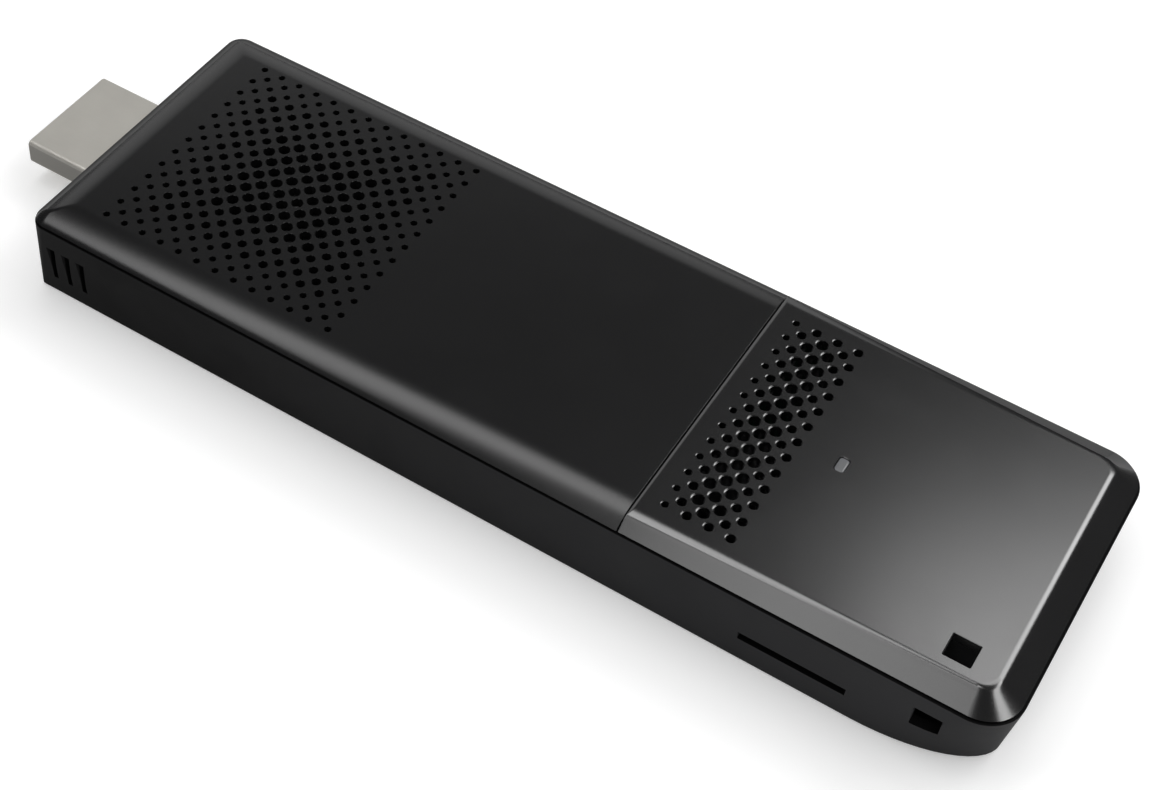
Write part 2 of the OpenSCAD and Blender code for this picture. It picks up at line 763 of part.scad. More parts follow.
module processor() color("#3a3d42") in_frame()
    translate([processor_x, processor_y, board_top]) {
        translate([-processor_w / 2, -processor_w / 2, 0])
            cube([processor_w, processor_w, chip_h / 2]);
        translate([-pad_w / 2, -pad_w / 2, chip_h / 2])
            cube([pad_w, pad_w, chip_h / 2]);
    }

module memory_chips() color("#2a2b2e") in_frame()
    for (z = [board_top, board_z - chip_h])
        translate([memory_x - memory_w / 2, memory_y - memory_l / 2, z])
            cube([memory_w, memory_l, chip_h]);

module flash_chip() color("#2a2b2e") in_frame()
    translate([processor_x - flash_w / 2, processor_y - flash_l / 2, board_z - chip_h])
        cube([flash_w, flash_l, chip_h]);

module power_inductors() color("#4a4a4c") in_frame()
    for (p = inductor_places) {
        h = board_gap - under_clear;
        translate([p.x - inductor_w / 2, p.y - inductor_w / 2, board_z - h])
            cube([inductor_w, inductor_w, h]);
    }

module board_parts() color("#a58b60") in_frame() {
    part_l = 1;
    part_w = 0.5;
    row_pitch = 2.2;
    row_y = 9.5;
    memory_pitch = 1.6;
    memory_gap = 1;
    for (i = [0:5], side = [-1, 1])
        translate([fan_x + (i - 2.75) * row_pitch, side * row_y, board_top])
            cube([part_l, part_w, part_w]);
    for (i = [0:4])
        translate([memory_x - memory_w / 2 + memory_pitch * i, memory_y + memory_l / 2 + memory_gap,
            board_top])
            cube([part_l, part_w, part_w]);
}

module wireless_module() color("#1f5a3a") in_frame()
    translate([module_x - module_w / 2, module_y - module_l / 2, board_top])
        cube([module_w, module_l, module_t]);

module wireless_shield() color("#b4b6b8") in_frame()
    translate([module_x - module_w / 2 + fit_gap, module_y - module_l / 2 + fit_gap, board_top + module_t])
        cube([module_w - 2 * fit_gap, shield_l, shield_h]);

module antenna(y) translate([antenna_x - antenna_w / 2, y - antenna_l / 2, board_top - antenna_t])
    cube([antenna_w, antenna_l, antenna_t]);

module antenna_main() color("#c98f4a") in_frame() antenna(antenna_main_y);
module antenna_aux() color("#c98f4a") in_frame() antenna(antenna_aux_y);

lead_end_x = antenna_x - antenna_w / 2 + lead_overlap;
jack_z = board_top + module_t;
main_jack = [module_x + module_w / 2 - jack_inset, lead_jack_y, jack_z];
aux_jack = [module_x - module_w / 2 + jack_inset, lead_jack_y, jack_z];

// Coaxial lead from its plug on the wireless module to an antenna board
module antenna_lead(jack, run_y, end_y) {
    steps = 8;
    start = jack + [0, 0, lead_d / 2 + touch];
    over = [module_x + module_w / 2 + lead_d / 2, run_y, start.z];
    lower = [over.x + 2, run_y, lead_z];
    away = [board_x1 - 5, run_y, lead_z];
    end = [lead_end_x, end_y, lead_z];
    slack = [(over.x - start.x) * 0.4, 0, 0];
    wire(concat(
        [for (i = [0:steps]) curve([start, start + slack, over - slack, over], i / steps)],
        [lower],
        [for (i = [0:steps]) curve([away, away + [3, 0, 0], end - [3, 0, 0], end], i / steps)]),
        lead_d);
    translate(jack) cylinder(d = lead_plug_d, h = lead_plug_h);
}

module antenna_lead_main() color("#2b2b2b") in_frame()
    antenna_lead(main_jack, (card_inner_y - indicator_l / 2) / 2, antenna_main_y);
module antenna_lead_aux() color("#2b2b2b") in_frame()
    antenna_lead(aux_jack, (port_face_y - data_depth + indicator_l / 2) / 2, antenna_aux_y - antenna_l / 4);

// Cooling

module heat_spreader() color("#b87d56") in_frame()
    difference() {
        translate([0, 0, spreader_z]) linear_extrude(spreader_t)
            polygon([[duct_x0 - fan_wall, fin_end_y], [spreader_step_x, fin_end_y],
                [spreader_step_x, spreader_cpu_y0], [spreader_x1, spreader_cpu_y0],
                [spreader_x1, spreader_cpu_y1], [spreader_step_x, spreader_cpu_y1],
                [spreader_step_x, spreader_half_w], [board_x0 + cut, spreader_half_w],
                [board_x0 + cut, duct_exit_y + cut], [duct_x0 - fan_wall, duct_exit_y + cut]]);
        at_places(concat(fan_screw_places, spreader_screw_places), spreader_z - cut)
            cylinder(d = screw_hole_d, h = spreader_t + 2 * cut);
    }

module thermal_pad() color("#9aa7b5") in_frame()
    translate([processor_x - pad_w / 2, processor_y - pad_w / 2, chip_top])
        cube([pad_w, pad_w, pad_t]);

module fin_stack() color("#c0905f") in_frame() {
    block([duct_x0, fin_end_y, spreader_top], [fin_x1, fin_y1, spreader_top + fin_t]);
    for (i = [0:fin_count - 1])
        translate([duct_x0 + i * (fin_x1 - duct_x0 - fin_t) / (fin_count - 1), fin_end_y, spreader_top])
            cube([fin_t, fin_y1 - fin_end_y, fan_top - spreader_top]);
}

// Blower

module blower_outline(wall)
    union() {
        translate([fan_x, 0])
            circle(r = volute_r + wall);
        translate([duct_x0 - wall, duct_exit_y])
            square([fan_x - duct_x0 + wall, -duct_exit_y]);
    }

module blower_hollow()
    union() {
        translate([fan_x, 0])
            circle(r = volute_r);
        translate([duct_x0, duct_exit_y - cut])
            square([duct_x1 - duct_x0, cut - duct_exit_y]);
    }

module blower_ears()
    for (p = fan_screw_places) {
        arm = [fan_x, 0] - p;
        translate(p)
            circle(r = ear_r);
        translate(p) rotate(atan2(arm.y, arm.x)) translate([0, -ear_r])
            square([norm(arm) - volute_r, 2 * ear_r]);
    }

module fan_housing() color("#19191a") in_frame()
    difference() {
        union() {
            translate([0, 0, fan_z]) linear_extrude(fan_plate_z - fan_z) blower_outline(fan_wall);
            translate([0, 0, fan_z]) linear_extrude(ear_t) blower_ears();
        }
        difference() {
            translate([0, 0, fan_z + fan_floor_t]) linear_extrude(fan_top - fan_z) blower_hollow();
            translate([fan_x, 0, fan_z]) cylinder(d = bearing_tube_d, h = bearing_top - fan_z);
        }
        translate([fan_x, 0, fan_z + fan_floor_t])
            cylinder(d = bearing_d + 2 * touch, h = fan_top - fan_z);
        at_places(fan_screw_places, fan_z - cut)
            cylinder(d = screw_hole_d, h = ear_t + 2 * cut);
    }

module fan_plate() color("#222224") in_frame()
    translate([0, 0, fan_plate_z]) linear_extrude(fan_plate_t)
        difference() {
            blower_outline(fan_wall);
            translate([fan_x, 0])
                circle(d = inlet_d);
        }

module fan_bearing() color("#b08d4c") in_frame()
    translate([fan_x, 0, fan_z + fan_floor_t])
        difference() {
            h = bearing_top - fan_z - fan_floor_t;
            cylinder(d = bearing_d, h = h);
            translate([0, 0, -cut])
                cylinder(d = shaft_d + 2 * shaft_clear, h = h + 2 * cut);
        }

module fan_stator() color("#8a5a3c") in_frame()
    translate([fan_x, 0, fan_z + fan_floor_t]) {
        h = bearing_top - fan_z - fan_floor_t - fan_run_gap;
        core_d = bearing_tube_d + 1.2;
        difference() {
            union() {
                cylinder(d = core_d, h = h);
                intersection() {
                    cylinder(d = stator_d, h = h);
                    for (i = [0:stator_teeth - 1]) rotate(360 * i / stator_teeth)
                        translate([0, -stator_d / 10, 0])
                            cube([stator_d, stator_d / 5, h]);
                }
            }
            translate([0, 0, -cut])
                cylinder(d = bearing_tube_d + 2 * touch, h = h + 2 * cut);
        }
    }

// Points of a blade's face, an arc of a radius between two angles
function blade_face(r, a0, a1) =
    [for (i = [0:blade_steps]) let (a = a0 + (a1 - a0) * i / blade_steps) [r * cos(a), r * sin(a)]];

// One backward-curved blade from the hub to the rotor's rim
module blade(z0, z1) {
    reach = sqrt(pow(hub_d / 2, 2) + pow(blade_r, 2));
    root_a = acos(blade_r / reach);
    rim_a = acos((pow(reach, 2) + pow(blade_r, 2) - pow(rotor_d / 2, 2)) / (2 * reach * blade_r));
    tip = 90 - rim_a + root_a;
    root = 90 + blade_embed_a;
    translate([hub_d / 2, -blade_r, z0]) linear_extrude(z1 - z0)
        polygon(concat(blade_face(blade_r + blade_t / 2, tip, root),
            blade_face(blade_r - blade_t / 2, root, tip)));
}

module fan_rotor() color("#2f2f33") in_frame()
    translate([fan_x, 0, 0])
        difference() {
            union() {
                translate([0, 0, rotor_z0]) cylinder(d = hub_d, h = rotor_z1 - rotor_z0);
                for (i = [0:blade_count - 1]) rotate(360 * i / blade_count)
                    blade(rotor_z0, rotor_z1 - hub_top_t / 2);
            }
            translate([0, 0, rotor_z0 - cut])
                cylinder(d = hub_d - 2 * hub_wall, h = rotor_z1 - hub_top_t - rotor_z0 + cut);
            cylinder(d = shaft_d + 2 * touch, h = rotor_z1 + cut);
        }

module rotor_magnet() color("#55565a") in_frame()
    translate([fan_x, 0, rotor_z0 + touch])
        difference() {
            h = rotor_z1 - hub_top_t - rotor_z0 - touch;
            cylinder(d = magnet_d, h = h);
            translate([0, 0, -cut])
                cylinder(d = magnet_d - 2 * magnet_t, h = h + 2 * cut);
        }

module fan_shaft() color("#cfd1d4") in_frame()
    translate([fan_x, 0, fan_z + fan_floor_t + shaft_clear])
        cylinder(d = shaft_d, h = rotor_z1 - fan_z - fan_floor_t - shaft_clear);

connector_w = 1.8;
connector_l = 4;
connector_h = 1.3;
connector_x = spreader_step_x + 1 + connector_l / 2;
connector_y = processor_y + processor_w / 2 + 3.6;
lead_exit_y = 6;

module fan_connector() color("#e6e2d6") in_frame()
    translate([connector_x - connector_l / 2, connector_y - connector_w / 2, board_top])
        cube([connector_l, connector_w, connector_h]);

module fan_lead() color("#35353a") in_frame() {
    steps = 12;
    lead_exit_x = fan_x + sqrt(pow(volute_r + fan_wall, 2) - pow(lead_exit_y, 2));
    start = [lead_exit_x + lead_d / 2, lead_exit_y, fan_z + ear_t + lead_d];
    edge = [spreader_step_x + lead_d / 2, connector_y, spreader_top + lead_d];
    end = [connector_x - connector_l / 4, connector_y, board_top + connector_h + lead_d / 2 + touch];
    out = [2.5, 0, 0];
    wire(concat([for (i = [0:steps]) curve([start, start + out, edge - out, edge], i / steps)], [end]),
        lead_d);
}

// Data sockets

module data_shell(x) {
    low = [x - data_w / 2, port_face_y - data_depth, data_z - data_h / 2];
    high = [x + data_w / 2, port_face_y, data_z + data_h / 2];
    wall = [socket_t, 0, socket_t];
    difference() {
        block(low, high);
        block(low + wall - [0, cut, 0], high - wall + [0, cut, 0]);
    }
    for (side = [-1, 1]) {
        edge = x + side * (data_w / 2 - socket_t / 2);
        far_edge = x + side * (data_w / 2 + data_tab_w);
        block([min(edge, far_edge), port_face_y - data_depth / 2 - data_tab_l, board_top],
            [max(edge, far_edge), port_face_y - data_depth / 2, board_top + socket_t]);
    }
}

module data_tongue(x) {
    inner = [data_w / 2 - socket_t - touch, 0, data_h / 2 - socket_t - touch];
    rear_y = port_face_y - data_depth;
    tongue_z = data_z + data_tongue_lift;
    block([x, rear_y, data_z] - inner, [x, rear_y + data_block, data_z] + inner);
    block([x - data_tongue_w / 2, rear_y + data_block - touch, tongue_z - data_tongue_t / 2],
        [x + data_tongue_w / 2, port_face_y - data_tongue_inset, tongue_z + data_tongue_t / 2]);
}

module data_contact_row(x, places, y1, length, width) {
    contact_z = data_z + data_tongue_lift - data_tongue_t / 2 - data_contact_t;
    for (p = places)
        translate([x + p - width / 2, y1 - length, contact_z])
            cube([width, length, data_contact_t]);
}

data_main_places = [-3.5, -1, 1, 3.5];
data_extra_places = [-4, -2, 0, 2, 4];
data_contact_inset = 1.8;
data_contact_y1 = port_face_y - data_tongue_inset - data_contact_inset;

module data_shell_first() color("#b5b6b8") in_frame() data_shell(data_first_x);
module data_tongue_first() color("#1b1b1d") in_frame() data_tongue(data_first_x);
module data_contacts_first() color("#d2b36a") in_frame()
    data_contact_row(data_first_x, data_main_places, data_contact_y1, data_contact_l, data_contact_w);
module data_shell_second() color("#b5b6b8") in_frame() data_shell(data_second_x);
module data_tongue_second() color("#1f4fa8") in_frame() data_tongue(data_second_x);
module data_contacts_second() color("#d2b36a") in_frame() {
    data_contact_row(data_second_x, data_main_places, data_contact_y1, data_contact_l, data_contact_w);
    data_contact_row(data_second_x, data_extra_places, data_contact_y1 + data_extra_step, data_extra_l,
        data_extra_w);
}

// Power socket

module power_profile(grow)
    translate([power_x, power_z]) {
        w = power_w / 2 + grow;
        h = power_h / 2 + grow;
        polygon([[-w, h], [-w, -h + power_slant], [-w + power_slant, -h],
            [w - power_slant, -h], [w, -h + power_slant], [w, h]]);
    }

module along_y(y0, y1) translate([0, y1, 0]) rotate([90, 0, 0]) linear_extrude(y1 - y0) children();

module power_shell() color("#b5b6b8") in_frame()
    difference() {
        along_y(port_face_y - power_depth, port_face_y) power_profile(0);
        along_y(port_face_y - power_depth - cut, port_face_y + cut) power_profile(-socket_t);
    }

module power_tongue() color("#1b1b1d") in_frame() {
    rear_y = port_face_y - power_depth;
    along_y(rear_y, rear_y + power_block) power_profile(-socket_t - touch);
    block([power_x - power_tongue_w / 2, rear_y + power_block - touch, power_z - power_tongue_t / 2],
        [power_x + power_tongue_w / 2, port_face_y - data_tongue_inset, power_z + power_tongue_t / 2]);
}

// Memory card socket

card_low_z = card_z - card_h / 2;
card_high_z = card_z + card_h / 2;
slider_x = card_x + card_w / 2 - card_sheet - slider_clear - slider_w / 2;
slider_z0 = card_low_z + card_sheet + slider_clear;
slider_z1 = card_high_z - card_sheet - slider_clear;

module card_socket() color("#aeb0b2") in_frame() {
    difference() {
        block([card_x - card_w / 2, card_mouth_y, card_low_z],
            [card_x + card_w / 2, card_inner_y, card_high_z]);
        block([card_x - card_w / 2 + card_sheet, card_mouth_y - cut, card_low_z + card_sheet],
            [card_x + card_w / 2 - card_sheet, card_inner_y - card_sheet, card_high_z - card_sheet]);
    }
    for (side = [-1, 1]) {
        edge = card_x + side * (card_w / 2 - card_sheet / 2);
        far_edge = card_x + side * (card_w / 2 + card_tab_w);
        block([min(edge, far_edge), card_mouth_y + card_depth / 2, board_top],
            [max(edge, far_edge), card_mouth_y + card_depth / 2 + data_tab_l, board_top + card_sheet]);
    }
}

module card_contacts() color("#d2b36a") in_frame()
    for (i = [0:card_contact_count - 1])
        translate([card_x - card_w / 2 + card_contact_side + i * card_contact_pitch,
            card_inner_y - card_sheet - card_contact_l - card_contact_back, card_low_z + card_sheet])
            cube([card_contact_w, card_contact_l, card_contact_t]);

module card_slider() color("#e8e6df") in_frame()
    block([slider_x - slider_w / 2, slider_y, slider_z0],
        [slider_x + slider_w / 2, slider_y + slider_l, slider_z1]);

module card_spring() color("#c4c6c9") in_frame() {
    steps = 10 * spring_turns;
    y0 = slider_y + slider_l + spring_end_gap + spring_wire / 2;
    y1 = card_inner_y - card_sheet - spring_end_gap - spring_wire / 2;
    wire([for (i = [0:steps]) let (a = 360 * spring_turns * i / steps)
        [slider_x + (spring_d - spring_wire) / 2 * cos(a), y0 + (y1 - y0) * i / steps,
            card_z + (spring_d - spring_wire) / 2 * sin(a)]], spring_wire, 6);
}

// Power button and its switch

module power_button() color("#262628") in_frame() {
    translate([button_x, button_face_y, button_z]) rotate([90, 0, 0])
        linear_extrude(button_face_y - flange_y0 - flange_t / 2) stadium(button_w, button_h);
    block([button_x - button_w / 2 - flange_grow, flange_y0, flange_z0],
        [button_x + button_w / 2 + flange_grow, flange_y1, flange_z1]);
}

module plunger_shape(y0, y1, grow)
    block([button_x - plunger_w / 2 - grow, y0, button_z - plunger_h / 2 - grow],
        [button_x + plunger_w / 2 + grow, y1, button_z + plunger_h / 2 + grow]);

module switch_body() color("#b9bbbd") in_frame()
    difference() {
        block([button_x - switch_w / 2, switch_face_y - switch_l, board_top],
            [button_x + switch_w / 2, switch_face_y, board_top + switch_h]);
        plunger_shape(switch_face_y - plunger_in - button_travel - button_clear, switch_face_y + cut,
            button_clear);
    }

module switch_plunger() color("#1b1b1d") in_frame()
    plunger_shape(switch_face_y - plunger_in, plunger_tip_y, 0);

// Indicator light

module indicator_chip() color("#f2f0e6") in_frame()
    translate([light_x - indicator_w / 2, -indicator_l / 2, board_top])
        cube([indicator_w, indicator_l, indicator_h]);

module light_guide() color("#b9bcbe") in_frame() {
    foot_z = board_top + indicator_h + guide_gap;
    collar_z = body_h - cover_t - guide_flange_t;
    translate([light_x, 0, foot_z]) linear_extrude(body_h - guide_clear - foot_z) light_profile(0);
    translate([light_x, 0, collar_z]) linear_extrude(guide_flange_t) light_profile(guide_flange);
}

// Screws

module fan_screws() color("#a9abad") in_frame()
    at_places(fan_screw_places, fan_z + ear_t)
        screw(fan_z + ear_t - board_z + screw_depth - screw_clear);
module spreader_screws() color("#a9abad") in_frame()
    at_places(spreader_screw_places, spreader_top)
        screw(spreader_top - board_z + screw_depth - screw_clear);
module board_screws() color("#a9abad") in_frame()
    at_places(board_screw_places, board_top)
        screw(board_t + screw_depth - screw_clear);

base_shell();
vent_cover();
tail_cover();
plug_shell();
plug_insulator();
plug_contacts();
main_board();
processor();
memory_chips();
flash_chip();
power_inductors();
board_parts();
wireless_module();
wireless_shield();
antenna_main();
antenna_aux();
antenna_lead_main();
antenna_lead_aux();
heat_spreader();
thermal_pad();
fin_stack();
fan_housing();
fan_plate();
fan_bearing();
fan_stator();
fan_rotor();
rotor_magnet();
fan_shaft();
fan_lead();
fan_connector();
data_shell_first();
data_tongue_first();
data_contacts_first();
data_shell_second();
data_tongue_second();
data_contacts_second();
power_shell();
power_tongue();
card_socket();
card_contacts();
card_slider();
card_spring();
power_button();
switch_body();
switch_plunger();
indicator_chip();
light_guide();
fan_screws();
spreader_screws();
board_screws();
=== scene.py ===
import json
import math

import bmesh
import bpy
from mathutils import Matrix, Vector


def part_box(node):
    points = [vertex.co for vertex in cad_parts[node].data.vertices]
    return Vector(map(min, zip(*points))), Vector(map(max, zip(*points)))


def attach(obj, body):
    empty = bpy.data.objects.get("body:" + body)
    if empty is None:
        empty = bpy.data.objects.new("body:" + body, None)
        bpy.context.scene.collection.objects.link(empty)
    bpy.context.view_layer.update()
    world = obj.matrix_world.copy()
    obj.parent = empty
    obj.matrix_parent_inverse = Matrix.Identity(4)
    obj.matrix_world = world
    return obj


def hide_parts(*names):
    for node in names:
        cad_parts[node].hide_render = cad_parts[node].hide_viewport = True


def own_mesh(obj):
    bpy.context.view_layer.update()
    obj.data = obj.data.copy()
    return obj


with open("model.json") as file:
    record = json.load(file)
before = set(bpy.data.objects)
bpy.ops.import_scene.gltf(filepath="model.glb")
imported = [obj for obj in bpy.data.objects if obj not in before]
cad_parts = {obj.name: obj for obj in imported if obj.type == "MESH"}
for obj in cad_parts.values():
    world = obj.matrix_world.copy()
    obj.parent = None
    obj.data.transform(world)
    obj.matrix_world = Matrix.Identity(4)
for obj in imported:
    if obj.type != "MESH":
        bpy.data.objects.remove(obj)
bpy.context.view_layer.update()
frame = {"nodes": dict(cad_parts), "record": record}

# Sizes in millimetres, with X counted from the plug-end wall
MM = 0.001
WALL_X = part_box("base_shell")[0].x


def span(node):
    """Lowest and highest corner of a frame node, in millimetres from the plug-end wall."""
    to_wall = Vector((WALL_X, 0, 0))
    return [(point - to_wall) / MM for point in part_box(node)]


def middle(node):
    low, high = span(node)
    return (low + high) / 2


# Casing
BODY_LEN, HALF_W, SEAM_Z = span("base_shell")[1]
VENT_EDGE, _, VENT_TOP = span("vent_cover")[1]
TAIL_EDGE = span("tail_cover")[0].x
BODY_H = span("tail_cover")[1].z
SPLIT_X = (VENT_EDGE + TAIL_EDGE) / 2
WALL_T = 1.2
FLOOR_T = 1.2
COVER_T = 1.2
SIDE_DRAFT = 0.85
TAIL_DRAFT = 0.7
PLUG_CORNER_R = 2
PLUG_FOOT_R = 0.4
TAIL_CORNER_R = 4.3
FOOT_CORNER_R = 5.6
FOOT_STRETCH = 2.45
SPLIT_CORNER_R = 0.05
MIN_CORNER_R = 0.4
FOOT_R = 0.2
SEAM_GAP = 0.14
SEAM_EDGE_R = 0.05
COVER_RAISE = 0.16
COVER_EDGE_Z = SEAM_Z + COVER_RAISE
RIM_INSET = 0.5
LIP_H = 1.5
LIP_OUTER = 1.3
LIP_INNER = 2.1
CORNER_STEPS = 14
WALL_STEPS = 6
ROUND_STEPS = 5
NEAR = 1e-4
MERGE_WITHIN = 1e-5
SHARP_ANGLE = 32
LEAST_BOX_R = 0.02
LEAST_SLANT_R = 0.05
# Painted light: upright casing faces grow paler from this X towards the tail
PAINTED_LIGHT_FROM = 20

# Covers
PILLOW_W = 4
PILLOW_STEPS = 20
PILLOW_EDGE = 0.8
BEVEL_AT_SPLIT = 1.35
BEVEL_AT_TAIL = 2.65
TAIL_BEVEL = 2.8
TOP_CORNER_R = 1.8
CROWN_W = 1.4
CROWN_TAIL_W = 0.5
CROWN_AT_TAIL = 0.7
CROWN_AT_SPLIT = 0.5
CROWN_H = 0.15
CROWN_STEPS = 8
CREST_START = 0.86
CREST_END = 0.15
CREST_STEPS = 6
MATTE_EDGE_R = 0.05
RIM_STEPS = 3
GRILLE_T = 2.1
GRILLE_EDGE = 1.2

# Vent holes. A lip is the width towards the plug, the width elsewhere and the depth of a chamfer
VENT_PITCH = 2.4
VENT_COUNT = 13
BAND_COUNT = 4
BAND_GAP = 2.65
HOLE_SMALL = 0.78
HOLE_MEDIUM = 1.05
HOLE_LARGE = 1.35
HOLE_SIDES = 20
SMALL_ROWS = 3
MEDIUM_ROWS = 7
MATTE_LIP = (0.03, 0.03, 0.03)
GLOSS_LIP = (0.2, 0.045, 0.09)
LIP_RISE = 0.02

# Openings and what fills them. Crowns and flanges are rows of depth and growth
OPENING_CHAMFER = 0.1
CUT_REACH = 0.3
CUT_PAST = 1
NEAR_CHAMFER = 0.05
SLOT_START = 2.57
SLOT_PITCH = 2
SLOT_COUNT = 3
SLOT_W = 0.6
SLOT_H = 4.5
SLOT_Z = 2.5
CARD_SLOT_W = 11.5
CARD_SLOT_H = 1
LANYARD_W = 2.85
LANYARD_X = BODY_LEN - 7.4
LANYARD_INSET = 5.5
LANYARD_Z = 6.25
LANYARD_CORNER = 0.12
POCKET_W = 3.2
POCKET_T = 0.8
POCKET_GAP = 2.3
LIGHT_L = 1.85
LIGHT_W = 1.05
LIGHT_CORNER = 0.32
LIGHT_CLEAR = 0.05
LIGHT_CHAMFER = 0.06
LIGHT_CROWN = ((0.12, 0), (0.05, -0.03), (0.01, -0.1), (0, -0.25))
COLLAR = 0.5
PORT_CLEAR = 0.15
POWER_OPENING_R = 0.3
BUTTON_W = 6
BUTTON_H = 2.2
BUTTON_CLEAR = 0.12
BUTTON_ROOT = 0.3
BUTTON_CROWN = ((0.3, 0), (0.2, -0.03), (0.12, -0.1), (0.06, -0.25), (0.02, -0.55), (0, -0.9))
BUTTON_FLANGE = ((0, -0.1), (0.1, 0), (0.6, 0), (0.7, -0.1))

# Bosses under the board, by the places of the screws that they take
BOSS_TOP = span("main_board")[0].z
BOSS_R = 1.7
BOSS_BORE_R = 0.85
BOSS_DEPTH = 1.6
BOSS_PLACES = [(34.2, 12.6), (34.2, -12.6), (9.4, 12.6), (39.4, 3.5), (57.6, -12.4), (97, 12.5),
               (100.9, -13.2)]

# Plug and sockets. PLUG_ROWS has the count and the side of each row, CONTACT_BEND the shares of
# a contact's length, LEAF_LINE a leaf spring's distances from the mouth and from the inner wall
PLUG_SLANT = 1.55
PLUG_CORNER = 0.55
SHEET_T = 0.3
PLUG_SLOT_W = 11.2
PLUG_SLOT_H = 2
PLUG_SLOT_FLOOR = 2
PLUG_SLOT_R = 0.2
CORE_CLEAR = 0.02
CORE_CHAMFER = 0.15
PLUG_PITCH = 1
PLUG_ROWS = ((10, 1), (9, -1))
PLUG_CONTACT_W = 0.45
DATA_CONTACT_W = 1
DATA_EXTRA_W = 0.7
CONTACT_T = 0.15
CONTACT_BULGE = 0.22
CONTACT_BEND = (0.06, 0.04, 0.12, 0.25, 0.4)
DATA_CORNER = 0.6
DATA_MAIN = (-3.5, -1, 1, 3.5)
DATA_EXTRA = (-4, -2, 0, 2, 4)
DATA_MAIN_L = 7
DATA_MAIN_STEP = 0.23
DATA_EXTRA_L = 1.2
DATA_BLOCK = 3.5
DATA_TONGUE_W = 11.2
DATA_TONGUE_T = 1.8
DATA_LIFT = 0.75
LEAF_W = 1.8
LEAF_X = 3
LEAF_LINE = ((-5.5, 0.15), (-5.5, 0), (-3, -0.45), (-1.6, -0.1), (-1.6, 0.05), (-3, -0.25),
             (-4.8, 0.15))
DATA_FOOT_HALF = 1.5
POWER_SLANT = 0.6
POWER_CORNER = 0.25
POWER_BLOCK = 1.2
POWER_TONGUE_W = 4.8
POWER_TONGUE_T = 0.6
TONGUE_TIP = 0.25
TIP_R = 0.14
TIP_TURN = 0.3
MOUTH_L = 0.1
MOUTH_FLARE = 0.06

# Spring of the card slider
SPRING_WIRE = 0.16
SPRING_TURNS = 9
SPRING_STEPS = 14
SPRING_SIDES = 8


# Outlines

def corner(x, y, along, across, radius, start, stretch=1):
    """Points of one outline corner, given by its sharp corner, directions, radius and stretch."""
    if radius == 0:
        return [(x, y)]
    turns = [math.radians(start + 90 * i / CORNER_STEPS) for i in range(CORNER_STEPS + 1)]
    reach = radius * stretch
    middle_x = x - along * reach
    middle_y = y - across * radius
    return [(middle_x + reach * math.cos(a), middle_y + radius * math.sin(a)) for a in turns]


def outline(x0, x1, w0, w1, r0, r1, stretch=1):
    """Outline between two ends with their half widths and corner radii, the last stretched along X."""
    tail = corner(x1, -w1, 1, -1, r1, -90, stretch) + corner(x1, w1, 1, 1, r1, 0, stretch)
    return tail + corner(x0, w0, -1, 1, r0, 90) + corner(x0, -w0, -1, -1, r0, 180)


def at_height(points, z):
    return [(x, y, z) for x, y in points]


def lean(z):
    """Share of the walls' lean at a height, 1 at the underside and 0 at the seam."""
    return 1 - z / SEAM_Z


def wall_y(z):
    """Distance from the middle to the outer face of a long wall at a height."""
    return HALF_W - SIDE_DRAFT * lean(z)


def from_foot(foot, seam, z):
    """Value that runs from one at the underside to another at the seam."""
    return seam + (foot - seam) * lean(z)


def plug_r(z, inset):
    return max(from_foot(PLUG_FOOT_R, PLUG_CORNER_R, z) - inset, MIN_CORNER_R)


def tail_r(z, inset):
    return max(from_foot(FOOT_CORNER_R, TAIL_CORNER_R, z) - inset, MIN_CORNER_R)


def wall_ring(z, inset, start, start_r):
    """Ring inset from the casing's outer face at a height, from a start along X to the tail."""
    side = wall_y(z) - inset
    tail = BODY_LEN - TAIL_DRAFT * lean(z) - inset
    return at_height(outline(start + inset, tail, side, side, start_r, tail_r(z, inset),
                             from_foot(FOOT_STRETCH, 1, z)), z)


def casing_ring(z, inset):
    return wall_ring(z, inset, 0, plug_r(z, inset))


def vent_cover_ring(z, inset):
    side = wall_y(z) - inset
    return at_height(outline(inset, VENT_EDGE - inset, side, side, plug_r(z, inset), 0), z)


def tail_cover_ring(z, inset):
    return wall_ring(z, inset, TAIL_EDGE, SPLIT_CORNER_R)


def rounded(points, radius, steps=5):
    """A polygon's points with each corner turned into an arc."""
    result = []
    for i, point in enumerate(points):
        here = Vector(point)
        back = (Vector(points[i - 1]) - here).normalized()
        ahead = (Vector(points[(i + 1) % len(points)]) - here).normalized()
        half = back.angle(ahead) / 2
        centre = here + (back + ahead).normalized() * radius / math.sin(half)
        spoke = here + back * radius / math.tan(half) - centre
        turn = math.copysign(math.pi - 2 * half, ahead.cross(back))
        for k in range(steps + 1):
            a = turn * k / steps
            across = Vector((spoke.x * math.cos(a) - spoke.y * math.sin(a),
                             spoke.x * math.sin(a) + spoke.y * math.cos(a)))
            result.append(tuple(centre + across))
    return result


def box_outline(width, height, radius=0):
    """Function that gives a box's points, grown by a margin."""
    def points(grow):
        w = width / 2 + grow
        h = height / 2 + grow
        square = [(w, h), (-w, h), (-w, -h), (w, -h)]
        return rounded(square, max(radius + grow, LEAST_BOX_R)) if radius else square
    return points


def slanted_outline(width, height, slant, radius):
    """Function that gives a socket's points, a box with two slanted lower corners."""
    def points(grow):
        w = width / 2 + grow
        h = height / 2 + grow
        shape = [(-w, h), (-w, slant - h), (slant - w, -h), (w - slant, -h), (w, slant - h), (w, h)]
        return rounded(shape[::-1], max(radius + grow, LEAST_SLANT_R))
    return points


